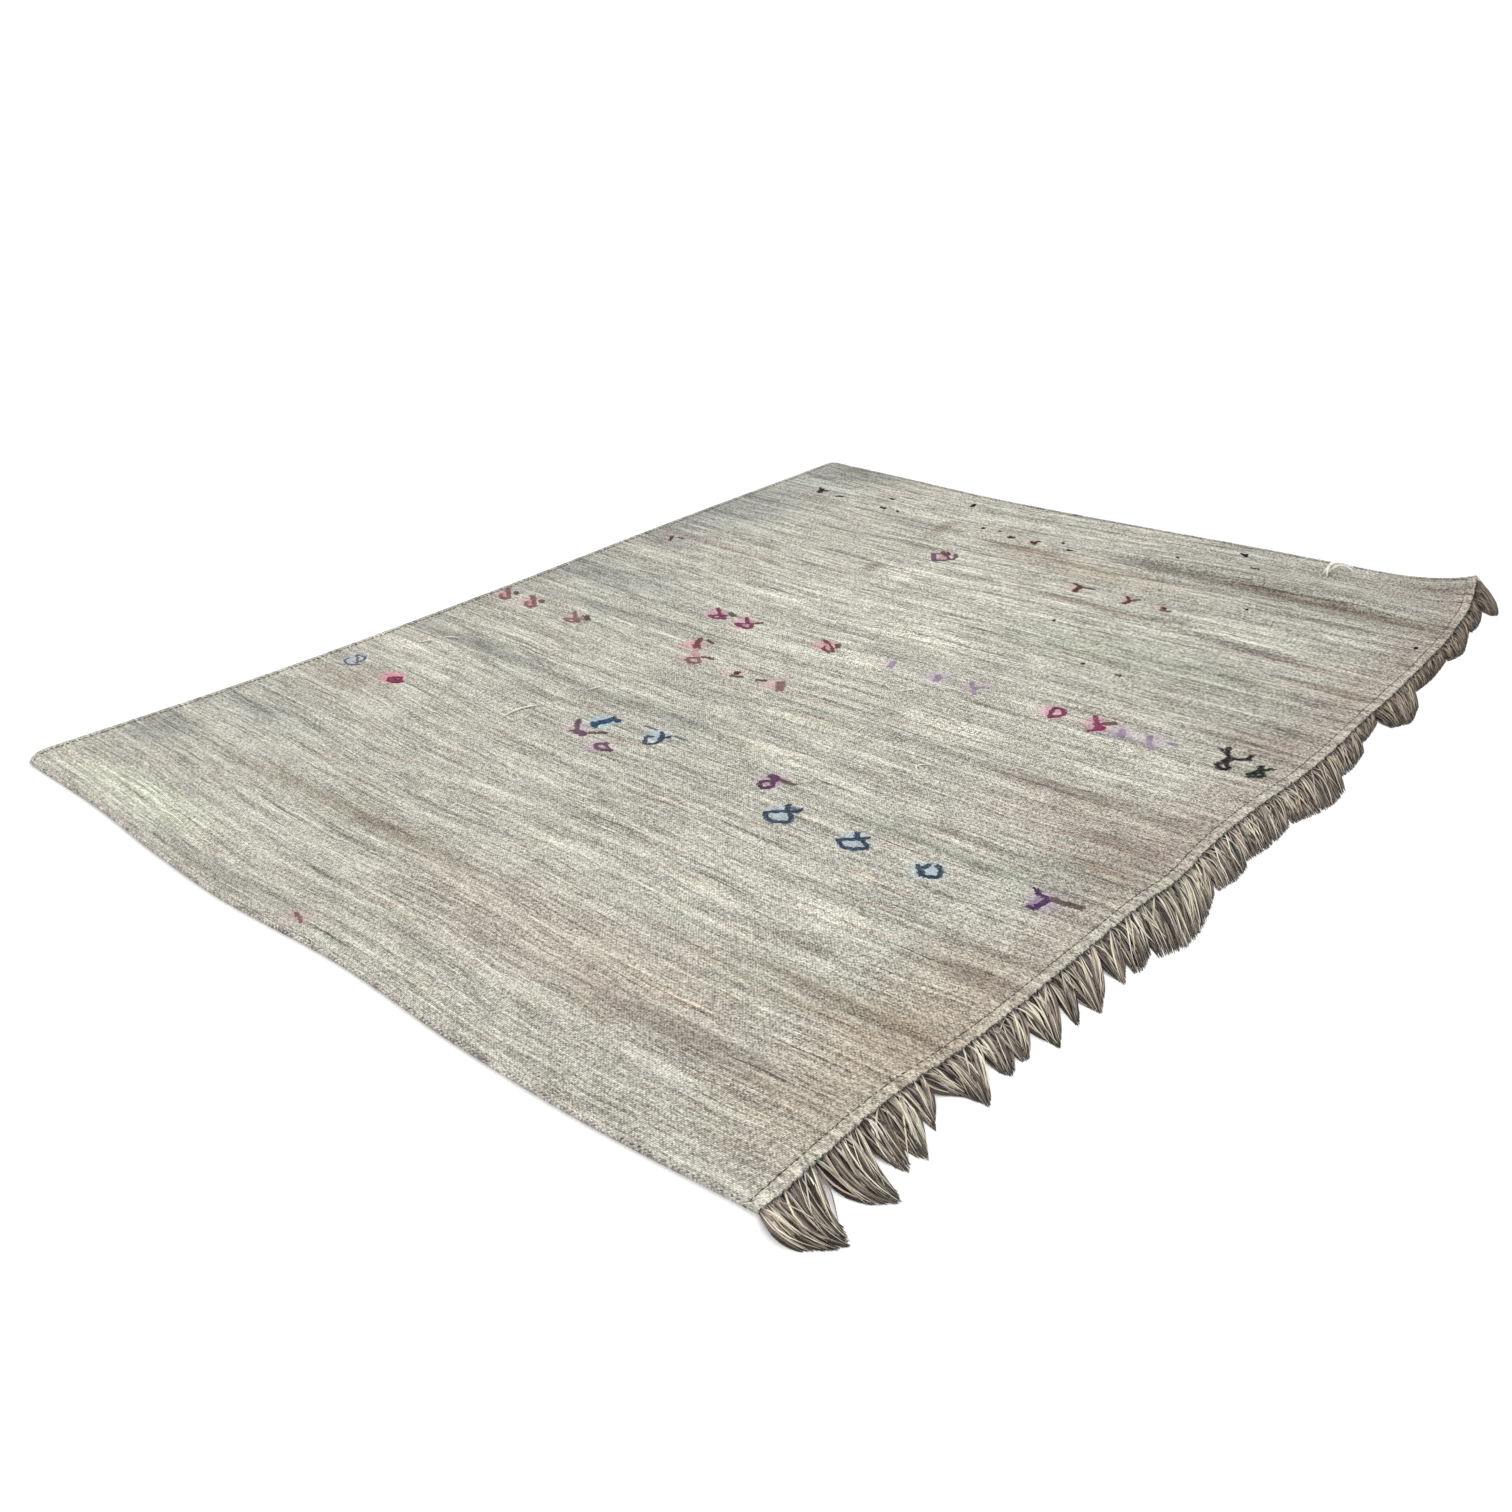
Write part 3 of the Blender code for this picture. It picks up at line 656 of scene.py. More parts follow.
def edge_offset(points, along):
    """Read the smooth curve through an edge's points at places along it."""
    places, offsets = np.array(points).T
    slopes = np.gradient(offsets, places)
    along = np.clip(along, places[0], places[-1])
    i = np.clip(np.searchsorted(places, along, side="right") - 1, 0, len(points) - 2)
    span = places[i + 1] - places[i]
    t = (along - places[i]) / span
    start = (2 * t**3 - 3 * t**2 + 1) * offsets[i] + (t**3 - 2 * t**2 + t) * span * slopes[i]
    end = (3 * t**2 - 2 * t**3) * offsets[i + 1] + (t**3 - t**2) * span * slopes[i + 1]
    return start + end


def hump(distance):
    """A smooth hump, 1 in its middle and 0 from a distance of 1 outwards."""
    reach = np.minimum(np.abs(distance), 1.0)
    return (1.0 - reach**2) ** 2


def corner_inset(distance, radius):
    """How far a rounded corner draws an edge in, at a distance from the crossing edge."""
    reach = np.clip(distance / radius, 0.0, 1.0)
    return radius * (1.0 - (1.0 - (1.0 - reach) ** 2) ** 0.5)


def place_in_plan(across, along):
    """Move places of the straight rectangle to the mat's real outline."""
    to_fringe = (across + HALF_WIDTH) / MAT_WIDTH
    to_far = (along + HALF_LENGTH) / MAT_LENGTH
    rounding = corner_inset(HALF_LENGTH + along, WORN_CORNER_RADIUS)
    rounding = rounding + corner_inset(HALF_LENGTH - along, BLUNT_CORNER_RADIUS)
    plain = edge_offset(PLAIN_HEM, along) + rounding
    fringed = edge_offset(FRINGED_HEM, along)
    near = edge_offset(NEAR_SELVAGE, across)
    far = edge_offset(FAR_SELVAGE, across)
    x = across + plain * (1.0 - to_fringe) + fringed * to_fringe
    y = along + near * (1.0 - to_far) + far * to_far
    return x, y


def lift(x, y):
    """Height of the mat's underside above the floor."""
    height = np.zeros(np.shape(x))
    for fold in FOLDS:
        away = y - fold.y - fold.slant * (x - fold.x)
        side_width = np.where(away > 0.0, fold.far_width, fold.near_width)
        height = height + fold.height * hump((x - fold.x) / fold.half_length) * hump(away / side_width)
    corner_x, corner_y = place_in_plan(HALF_WIDTH, HALF_LENGTH)
    to_corner = np.maximum(corner_x - x, 0.0) + np.maximum(corner_y - y, 0.0)
    return height + CURL_HEIGHT * np.maximum(1.0 - to_corner / CURL_REACH, 0.0) ** 3


def cockle(x, y):
    """The weave's small rises and hollows, longer across the mat than along it."""
    flat = [
        sum(row.share * noise.noise(Vector((row.across * a, row.along * b, row.seed))) for row in COCKLES)
        for a, b in zip(np.ravel(x), np.ravel(y))
    ]
    return COCKLE_HEIGHT * np.reshape(flat, np.shape(x))


def surface(x, y):
    """Height of the top of the cloth."""
    return lift(x, y) + CLOTH_THICKNESS + cockle(x, y)


def height_at(height, x, y):
    """One place's height, by a function that works out the heights of many."""
    return float(height(np.array([x]), np.array([y]))[0])


# Meshes


def new_piece(name, vertices, faces, material):
    """Make an object from a list of points and a list of faces."""
    mesh = bpy.data.meshes.new(name)
    mesh.from_pydata(np.asarray(vertices).tolist(), [], faces)
    mesh.materials.append(material)
    mesh.shade_smooth()
    piece = bpy.data.objects.new(name, mesh)
    bpy.context.scene.collection.objects.link(piece)
    return piece


def set_colours(piece, name, colours):
    """Give each point of a piece a colour, RGBA."""
    layer = piece.data.color_attributes.new(name, "FLOAT_COLOR", "POINT")
    layer.data.foreach_set("color", np.asarray(colours, np.float32).ravel())


def set_places(piece, name, places):
    """Give each point of a piece a place in the cloth, as a UV map."""
    layer = piece.data.uv_layers.new(name=name)
    corners = np.zeros(len(piece.data.loops), np.int32)
    piece.data.loops.foreach_get("vertex_index", corners)
    layer.data.foreach_set("uv", np.asarray(places, np.float32)[corners].ravel())


def quads(rows, columns, first=0, closed=False):
    """The faces of a grid of points, which closes on itself across its columns if it is a tube."""
    faces = []
    for row in range(rows - 1):
        here = first + row * columns
        onward = here + columns
        for column in range(columns if closed else columns - 1):
            beside = (column + 1) % columns
            faces.append((here + column, here + beside, onward + beside, onward + column))
    return faces


def slab(name, top, bottom, material):
    """A closed sheet between two grids of points, each of rows by columns."""
    rows, columns = top.shape[:2]
    count = rows * columns
    faces = quads(rows, columns)
    faces += [face[::-1] for face in quads(rows, columns, first=count)]
    rim = [(0, column) for column in range(columns)]
    rim += [(row, columns - 1) for row in range(1, rows)]
    rim += [(rows - 1, column) for column in range(columns - 2, -1, -1)]
    rim += [(row, 0) for row in range(rows - 2, 0, -1)]
    rim = [row * columns + column for row, column in rim]
    for here, beside in zip(rim, rim[1:] + rim[:1]):
        faces.append((here + count, beside + count, beside, here))
    vertices = np.concatenate([top.reshape(-1, 3), bottom.reshape(-1, 3)])
    return new_piece(name, vertices, faces, material)


def unit(vectors):
    """Vectors drawn out or in to a length of 1."""
    return vectors / np.linalg.norm(vectors, axis=-1, keepdims=True)


def frames_along(points):
    """Two directions square to a path at each of its points: one level, the other upwards."""
    ahead = unit(np.gradient(points, axis=-2))
    side = unit(np.cross(ahead, (0.0, 0.0, 1.0)))
    return side, np.cross(side, ahead)


def tube_faces(sections, sides):
    """The faces of a tube that is closed at both ends."""
    last = (sections - 1) * sides
    faces = [face[::-1] for face in quads(sections, sides, closed=True)]
    return faces + [tuple(range(sides)), tuple(range(last + sides - 1, last - 1, -1))]


def tube(points, radii, sides):
    """Points and faces of a round tube along a path."""
    side, up = frames_along(points)
    turns = (np.arange(sides) * (2.0 * math.pi / sides))[None, :, None]
    ring = np.cos(turns) * side[:, None, :] + np.sin(turns) * up[:, None, :]
    vertices = points[:, None, :] + ring * radii[:, None, None]
    return vertices.reshape(-1, 3), tube_faces(len(points), sides)


def stitch(centre, way, length, width, height):
    """Points and faces of one plump stitch of yarn that lies on the cloth, pointed at both ends."""
    shares, fullness = np.array(STITCH_SHAPE).T[..., None]
    ahead = np.append(way / np.linalg.norm(way), 0.0)
    beside = np.array((-ahead[1], ahead[0], 0.0))
    turns = (np.arange(STITCH_SIDES) * (2.0 * math.pi / STITCH_SIDES))[:, None]
    middles = centre + (shares - 0.5) * length * ahead
    ring = np.cos(turns) * beside * width / 2 + np.sin(turns) * np.array((0, 0, height / 2))
    points = middles[:, None, :] + fullness[:, None] * ring[None, :, :]
    return points.reshape(-1, 3), tube_faces(len(shares), STITCH_SIDES)


def gathered(name, parts, material):
    """Make one piece of many (points, faces) parts."""
    vertices = []
    faces = []
    first = 0
    for points, own_faces in parts:
        vertices.append(points)
        faces += [tuple(first + corner for corner in face) for face in own_faces]
        first += len(points)
    return new_piece(name, np.concatenate(vertices), faces, material)


# Materials


def linear(colour):
    """A colour as it is seen, each part from 0 to 1, as the amounts of light that it stands for."""
    return tuple(c / 12.92 if c < 0.04045 else ((c + 0.055) / 1.055) ** 2.4 for c in colour)


class Shader:
    """A material's nodes, added one by one. A colour is given as it is seen."""

    def __init__(self, name, roughness, specular):
        self.material = bpy.data.materials.new(name)
        self.material.use_nodes = True
        self.tree = self.material.node_tree
        self.surface = self.tree.nodes["Principled BSDF"]
        self.surface.inputs["Roughness"].default_value = roughness
        self.surface.inputs["Specular IOR Level"].default_value = specular

    def node(self, kind, inputs=(), output=0, **settings):
        """Add a node, fill its inputs with numbers or links, and return one of its outputs."""
        node = self.tree.nodes.new(kind)
        for setting, value in settings.items():
            setattr(node, setting, value)
        for key, value in dict(inputs).items():
            if isinstance(value, bpy.types.NodeSocket):
                self.tree.links.new(value, node.inputs[key])
            else:
                node.inputs[key].default_value = value
        return node.outputs[output]

    def math(self, operation, *values):
        """Work out one number from others."""
        return self.node("ShaderNodeMath", dict(enumerate(values)), operation=operation)

    def parts(self, vector):
        """The first two numbers of a vector."""
        first = self.node("ShaderNodeSeparateXYZ", {0: vector})
        return first, first.node.outputs[1]

    def vector(self, x, y, z=0.0):
        """A vector of three numbers."""
        return self.node("ShaderNodeCombineXYZ", {0: x, 1: y, 2: z})

    def place(self):
        """A place on the object, in metres."""
        return self.node("ShaderNodeTexCoord", output=3)

    def chequer(self, column, row):
        """A number from 0 to 1 for each whole column and row, with no order in it."""
        inputs = {"Vector": self.vector(column, row)}
        return self.node("ShaderNodeTexWhiteNoise", inputs, noise_dimensions="2D")

    def noise(self, vector, scale=1.0, detail=1.0, roughness=0.5):
        """Smooth noise from 0 to 1 at a place."""
        inputs = {"Vector": vector, "Scale": scale, "Detail": detail, "Roughness": roughness}
        return self.node("ShaderNodeTexNoise", inputs)

    def streaks(self, place, length, width, seed=0.0, detail=1.0, roughness=0.5):
        """Noise in streaks of a length across the mat and a width along it."""
        x = self.math("DIVIDE", place[0], length)
        y = self.math("DIVIDE", place[1], width)
        return self.noise(self.vector(x, y, seed), detail=detail, roughness=roughness)

    def grain(self, place, across, along, seed=0.0):
        """Noise with so many grains to the metre across and along."""
        x = self.math("MULTIPLY", place[0], across)
        y = self.math("MULTIPLY", place[1], along)
        return self.noise(self.vector(x, y, seed), detail=2.0)

    def total(self, start, *layers):
        """Add layers of noise to a start: each is a (noise, strength) pair, with its middle at 0."""
        for layer, strength in layers:
            centred = self.math("SUBTRACT", layer, 0.5)
            start = self.math("MULTIPLY_ADD", centred, strength, start)
        return start

    def stretch(self, value, low, high, to_low=0.0, to_high=1.0):
        """Stretch the range from low to high, and cut off what lies outside."""
        return self.node("ShaderNodeMapRange", {0: value, 1: low, 2: high, 3: to_low, 4: to_high})

    def ramp(self, value, *stops):
        """A colour for each value, from pairs of a value and a colour."""
        output = self.node("ShaderNodeValToRGB", {0: value})
        elements = output.node.color_ramp.elements
        while len(elements) < len(stops):
            elements.new(0.5)
        for element, (position, colour) in zip(elements, stops):
            element.position = position
            element.color = (*linear(colour), 1.0)
        return output

    def mix(self, share, first, second, blend="MIX"):
        """Mix a share of a second colour into a first."""
        if isinstance(second, tuple):
            second = (*linear(second), 1.0)
        inputs = {0: share, 6: first, 7: second}
        return self.node("ShaderNodeMix", inputs, output=2, data_type="RGBA", blend_type=blend)

    def tinted(self, colour, tint, share=1.0):
        """Draw a colour towards a tint."""
        return self.mix(share, colour, tint, blend="MULTIPLY")

    def attribute(self, name, output=0):
        """A colour that is stored on the points."""
        return self.node("ShaderNodeAttribute", output=output, attribute_name=name)

    def finish(self, colour, height, distance, strength):
        """Connect the colour and the bump to the surface."""
        inputs = {"Height": height, "Distance": distance, "Strength": strength}
        normal = self.node("ShaderNodeBump", inputs)
        self.tree.links.new(colour, self.surface.inputs["Base Color"])
        self.tree.links.new(normal, self.surface.inputs["Normal"])
        return self.material


def hem_seam_shading(shader, tone, across, along):
    """Add the fringed hem's painted light and shade: that of the puckers around its seam, the seam's dark
    line as a painted shadow, and a painted highlight on the pale outer fold.
    """
    seam = HALF_WIDTH - FRINGED_HEM_WIDTH
    # Painted shade and light of the puckers beside the seam, in short slanted strokes.
    aslant = shader.math("MULTIPLY_ADD", across, 0.6, along)
    pucker = shader.streaks((across, aslant), length=0.022, width=0.0072, seed=9.0)
    near_seam = shader.stretch(across, seam - 0.036, seam - 0.006)
    strength = shader.math("MULTIPLY", near_seam, shader.stretch(along, 0.0, 1.0, 1.0, 0.55))
    painted_pucker_shade = shader.math("MULTIPLY", strength, shader.stretch(pucker, 0.34, 0.70, -0.16, 0.16))
    tone = shader.math("SUBTRACT", tone, painted_pucker_shade)
    # Painted shadow of the hem's inner step along the seam, broken into dashes and fainter over the far
    # half.
    off_seam = shader.math("ABSOLUTE", shader.math("SUBTRACT", across, seam))
    on_seam_shadow = shader.stretch(off_seam, 0.0008, 0.0024, 1.0, 0.0)
    dash = shader.streaks((across, along), length=1.0, width=0.0115, seed=13.0, detail=2.0)
    line = shader.math("MULTIPLY", on_seam_shadow, shader.stretch(dash, 0.40, 0.56, 0.1, 1.0))
    line = shader.math("MULTIPLY", line, shader.stretch(along, 0.0, 0.9, 0.42, 0.16))
    tone = shader.math("SUBTRACT", tone, line)
    # Painted highlight on the rounded outer fold: the hem grows paler from the seam towards it.
    fold = shader.stretch(across, seam + 0.0010, HALF_WIDTH - 0.0040, 0.0, 0.15)
    return shader.math("ADD", tone, fold)


def straw_colour(shader, tone, place):
    """The colour of the straw in a tone, with its warm and cool streaks, its patches with the painted
    shade and light of the folds, and its dye.
    """
    colour = shader.ramp(
        tone,
        (0.00, (0.355, 0.338, 0.314)),
        (0.25, (0.540, 0.526, 0.488)),
        (0.50, (0.690, 0.681, 0.638)),
        (0.75, (0.822, 0.817, 0.765)),
        (1.00, (0.955, 0.952, 0.902)),
    )
    warm = shader.streaks(place, length=0.260, width=0.022, seed=11.0, detail=2.0)
    cool = shader.streaks(place, length=0.200, width=0.016, seed=12.0, detail=2.0)
    colour = shader.tinted(colour, (0.985, 0.925, 0.88), shader.stretch(warm, 0.54, 0.74, 0.0, 0.55))
    colour = shader.tinted(colour, (0.92, 0.965, 0.93), shader.stretch(cool, 0.55, 0.75, 0.0, 0.55))
    # The tint holds the straw's own patches and the painted shade and light along the folds and ripples.
    colour = shader.tinted(colour, shader.attribute("tint"))
    dye = shader.attribute("dye")
    dyed = shader.tinted(shader.mix(0.55, colour, (1.0, 1.0, 1.0)), dye)
    return shader.mix(dye.node.outputs[3], colour, dyed)


def weave_material():
    """Plain woven palm straw, each crossing in a tone of its own, in uneven streaks across the mat, with
    painted shade and light.
    """
    shader = Shader("woven_straw", roughness=0.75, specular=0.25)
    across, along = shader.parts(shader.node("ShaderNodeUVMap", uv_map="cloth"))
    wander = shader.streaks((across, along), length=0.150, width=0.110)
    along = shader.math("MULTIPLY_ADD", wander, 0.012, along)
    rough_edge = shader.streaks((across, along), length=0.050, width=0.040, seed=3.0)
    along = shader.math("MULTIPLY_ADD", rough_edge, 0.005, along)
    place = (across, along)

    rows = shader.math("DIVIDE", along, WEFT_PITCH)
    row = shader.math("FLOOR", rows)
    columns = shader.math("DIVIDE", across, WARP_PITCH)
    column = shader.math("FLOOR", shader.math("MULTIPLY_ADD", row, 0.5, columns))
    crossing = shader.chequer(column, row)
    over = shader.math("COSINE", shader.math("MULTIPLY", shader.math("ADD", columns, row), math.pi))
    round_weft = shader.math("SINE", shader.math("MULTIPLY", shader.math("FRACT", rows), math.pi))
    weave = shader.math("MULTIPLY", round_weft, shader.stretch(over, -1.0, 1.0, 0.25, 1.0))

    strand = shader.streaks((across, row), length=0.070, width=1.1, seed=1.0)
    line = shader.streaks((across, row), length=0.300, width=1.9, seed=7.0)
    grain = shader.streaks(place, length=0.0066, width=0.0042, seed=2.0, detail=2.0, roughness=0.7)
    fleck = shader.streaks(place, length=0.095, width=0.0060, seed=4.0, detail=3.0, roughness=0.6)
    streak = shader.streaks(place, length=0.210, width=0.017, seed=5.0, detail=2.0)
    band = shader.streaks(place, length=0.650, width=0.038, seed=6.0, detail=2.0)
    # The weave layer paints shade in the gaps between the weft rows and on the strands that pass under;
    # the bump uses it too.
    fine = ((crossing, 0.56), (weave, 0.42), (strand, 0.50), (line, 0.62), (grain, 0.84))
    layers = shader.total(0.0, *fine, (fleck, 0.55), (streak, 0.58), (band, 0.50))
    tone = shader.math("MULTIPLY_ADD", layers, shader.stretch(along, -1.3, 1.2, 0.92, 1.45), 0.55)
    # Painted shade and light of small creases: thin dark lines and thin pale lines in the straw's tone.
    crease = shader.streaks(place, length=0.260, width=0.0075, seed=8.0)
    tone = shader.math("SUBTRACT", tone, shader.stretch(crease, 0.64, 0.80, 0.0, 0.42))
    tone = shader.math("ADD", tone, shader.stretch(crease, 0.20, 0.36, 0.34, 0.0))
    colour = straw_colour(shader, hem_seam_shading(shader, tone, across, along), place)
    height = shader.total(weave, (grain, 0.9), (crossing, 0.25))
    return shader.finish(colour, height, distance=0.0016, strength=0.8)


def cord_material():
    """The greyish speckled cord of the selvages."""
    shader = Shader("selvage_cord", roughness=0.75, specular=0.25)
    x, y = shader.parts(shader.place())
    column = shader.math("FLOOR", shader.math("DIVIDE", x, 0.0034))
    row = shader.math("FLOOR", shader.math("DIVIDE", y, 0.0026))
    speckle = shader.chequer(column, row)
    fibre = shader.grain((x, y), 180.0, 420.0)
    patch = shader.grain((x, y), 22.0, 22.0)
    colour = shader.ramp(
        shader.total(0.53, (speckle, 0.65), (fibre, 0.80), (patch, 0.90)),
        (0.00, (0.33, 0.31, 0.30)),
        (0.35, (0.60, 0.575, 0.55)),
        (0.65, (0.76, 0.745, 0.71)),
        (1.00, (0.93, 0.915, 0.875)),
    )
    return shader.finish(colour, fibre, distance=0.0008, strength=0.6)


def yarn_material(name, colour):
    """Matt yarn, a little paler where its fibres stand up, and near the straw's colour where worn."""
    shader = Shader(name, roughness=0.85, specular=0.12)
    place = shader.place()
    fibre = shader.noise(place, scale=420.0, detail=3.0, roughness=0.7)
    patch = shader.noise(place, scale=60.0, detail=2.0)
    share = shader.math("MULTIPLY_ADD", fibre, 0.55, shader.math("MULTIPLY", patch, 0.55))
    dark = tuple(0.72 * part for part in colour)
    pale = tuple(0.78 * part + 0.12 for part in colour)
    shade = shader.ramp(shader.stretch(share, 0.36, 0.80), (0.0, dark), (0.55, colour), (1.0, pale))
    shade = shader.mix(shader.attribute("wear", output=2), shade, (0.66, 0.635, 0.60))
    return shader.finish(shade, fibre, distance=0.0008, strength=0.8)


def leaf_material():
    """Dry palm leaf: long fibres, a few dark ones, and a faint gloss."""
    shader = Shader("palm_leaf", roughness=0.55, specular=0.40)
    place = shader.parts(shader.node("ShaderNodeUVMap", uv_map="leaf"))
    fibre = shader.grain(place, 1500.0, 28.0)
    blotch = shader.grain(place, 90.0, 30.0, seed=4.0)
    share = shader.math("MULTIPLY_ADD", fibre, 0.55, shader.math("MULTIPLY", blotch, 0.50))
    light = shader.ramp(
        shader.stretch(share, 0.34, 0.74),
        (0.0, (0.60, 0.56, 0.52)),
        (0.5, (0.92, 0.90, 0.88)),
        (1.0, (1.0, 1.0, 0.99)),
    )
    colour = shader.tinted(shader.attribute("leaf_colour"), light)
    return shader.finish(colour, fibre, distance=0.0006, strength=0.5)


def floor_material():
    """A plain pale floor, very slightly mottled."""
    shader = Shader("pale_floor", roughness=0.9, specular=0.1)
    mottle = shader.noise(shader.place(), scale=1.5, detail=2.0)
    colour = shader.ramp(mottle, (0.3, (0.952, 0.950, 0.946)), (0.7, (0.966, 0.965, 0.962)))
    return shader.finish(colour, mottle, distance=0.0005, strength=0.1)


# The woven sheet and its edges


def tones_and_fold_shade_at(x, y):
    """The straw's own light and dark patches at places on the mat, with the painted shade and light of the
    folds.
    """
    tint = np.ones((*np.shape(x), 4))
    for patch in PATCHES:
        away = y - patch.y - patch.slant * (x - patch.x)
        share = hump((x - patch.x) / patch.half_length) * hump(away / patch.half_width)
        full = (1.0 + PATCH_STRENGTH * patch.shade) * np.array(HUES[patch.hue])
        tint[..., :3] *= 1.0 + (full**2.2 - 1.0) * share[..., None]
    return tint


def dye_at(x, y):
    """The dye that has run from the wool marks into the straw: a colour and how much of it."""
    dye = np.zeros((*np.shape(x), 4))
    dye[..., :3] = 0.5
    for mark in MARKS:
        away = np.hypot(x - mark.x - STAIN_DRIFT[0], y - mark.y - STAIN_DRIFT[1])
        share = mark.stain * hump(away / STAIN_REACH)
        dye[share > dye[..., 3], :3] = linear(WOOLS[mark.wool].halo)
        dye[..., 3] = np.maximum(dye[..., 3], share)
    return dye


def lay_cloth(name, grid, plan, heights, dye, material):
    """A closed piece of cloth between two heights, with its places, its patches and its dye."""
    bottom, top = (np.stack([*plan, height], axis=-1) for height in heights)
    piece = slab(name, top, bottom, material)
    places = np.stack([part.ravel() for part in grid], axis=-1)
    set_places(piece, "cloth", np.concatenate([places, places]))
    for layer, colours in (("tint", tones_and_fold_shade_at(*plan)), ("dye", dye)):
        set_colours(piece, layer, np.concatenate([colours.reshape(-1, 4)] * 2))
    return piece


def make_sheet(material):
    """The woven sheet itself, one closed mesh."""
    across = np.linspace(-HALF_WIDTH, HALF_WIDTH, round(MAT_WIDTH / CLOTH_STEP) + 1)
    along = np.linspace(-HALF_LENGTH, HALF_LENGTH, round(MAT_LENGTH / CLOTH_STEP) + 1)
    grid = np.meshgrid(across, along)
    plan = place_in_plan(*grid)
    return lay_cloth("woven_sheet", grid, plan, (lift(*plan), surface(*plan)), dye_at(*plan), material)


def make_hem(name, outer, inner, depth, material):
    """A hem: the cloth's edge turned over and sewn down, plump between its seam and its fold."""
    side = math.copysign(1.0, outer)
    shares, crown = np.array(HEM_CROWN[::-1] if side > 0.0 else HEM_CROWN).T
    along = np.linspace(-HALF_LENGTH, HALF_LENGTH, round(MAT_LENGTH / HEM_STEP) + 1)
    share, along = np.meshgrid(shares, along)
    across = outer + (inner - outer) * share
    x, y = place_in_plan(np.clip(across, -HALF_WIDTH, HALF_WIDTH), along)
    x = x + side * HEM_OVERHANG * (1.0 - share)
    drift = PUCKER_DRIFT * np.sin(DRIFTS_PER_METRE * along)
    pucker = np.sin(2.0 * math.pi * along / PUCKER_PITCH + drift)
    height = depth * crown + PUCKER_HEIGHT * pucker * np.sin(math.pi * share)
    underside = lift(x, y)
    heights = underside + HEM_GAP, underside + height
    return lay_cloth(name, (across, along), (x, y), heights, np.zeros((x.size, 4)), material)


def make_seam(name, across, rise, chance, material):
    """A row of running stitches along a hem."""
    parts = []
    for place in np.arange(-HALF_LENGTH + SEAM_START, HALF_LENGTH - SEAM_END, STITCH_PITCH):
        along = place + chance.normal(0.0, STRAY_ALONG)
        here = np.array(place_in_plan(across + chance.normal(0.0, STRAY_ACROSS), along))
        ahead = np.array(place_in_plan(across, min(along + AHEAD_ON_SEAM, HALF_LENGTH)))
        length = chance.uniform(*STITCH_LENGTHS)
        slant = np.array((chance.normal(0.0, STRAY_SLANT), 0.0))
        centre = np.array((*here, height_at(lift, *here) + rise))
        way = ahead - here + slant
        parts.append(stitch(centre, way, length, SEAM_YARN_WIDTH, SEAM_YARN_HEIGHT))
    return gathered(name, parts, material)


def make_selvage(name, end, material):
    """The two-ply cord that edges a short side, lying half under the last rows of the weave."""
    turns = (MAT_WIDTH - 2 * CORD_END_GAP) / CORD_TURN
    reach = HALF_WIDTH - CORD_END_GAP
    across = np.linspace(-reach, reach, round(turns * SECTIONS_PER_TURN))
    x, y = place_in_plan(across, np.full(across.shape, end))
    middle = np.stack([x, y, lift(x, y) + CORD_HEIGHT / 2 + CORD_FLOOR_GAP], axis=-1)
    side, up = frames_along(middle)
    radii = np.full(len(across), PLY_RADIUS)
    parts = []
    for start in (0.0, math.pi):
        turn = (2.0 * math.pi * turns * np.linspace(0.0, 1.0, len(across)) + start)[:, None]
        offset = side * np.cos(turn) * CORD_WIDTH / 4 + up * np.sin(turn) * CORD_HEIGHT / 5
        parts.append(tube(middle + offset, radii, sides=6))
    return gathered(name, parts, material)


# The fringe

# The blades of the fringe: where each ends and leaves the hem, how far it reaches, its clump and the
# small lock that it belongs to, how high it lies, its width, how it turns and bends, and its colour.
Blades = namedtuple("Blades", "tip root reach clump lock height width roll twist bow colour")


def hem_foot(along):
    """Points on the foot of the fringed hem."""
    x, y = place_in_plan(np.full(np.shape(along), HALF_WIDTH), along)
    return np.stack([x, y, lift(x, y)], axis=-1)


def locks_of(clump, tip, chance):
    """The middle of the small lock that each blade of a clump belongs to, and how far off it stands."""
    if clump.points == 0:
        return tip, np.zeros(len(tip))
    spacing = (clump.last - clump.first) / clump.points
    shift = chance.uniform(-LOCK_SHIFT, LOCK_SHIFT, clump.points)
    middles = clump.first + spacing * (np.arange(clump.points) + 0.5 + shift)
    own = np.argmin(np.abs(tip[:, None] - middles[None, :]), axis=1)
    return middles[own], np.minimum(np.abs(tip - middles[own]) / spacing, 1.0)


def tone_of(pick):
    """Colours between the leaf tones, from numbers that say how far down the list each lies."""
    tones = np.array(LEAF_TONES)
    low = np.floor(pick).astype(int)
    part = (pick - low)[:, None]
    return tones[low] * (1.0 - part) + tones[low + 1] * part


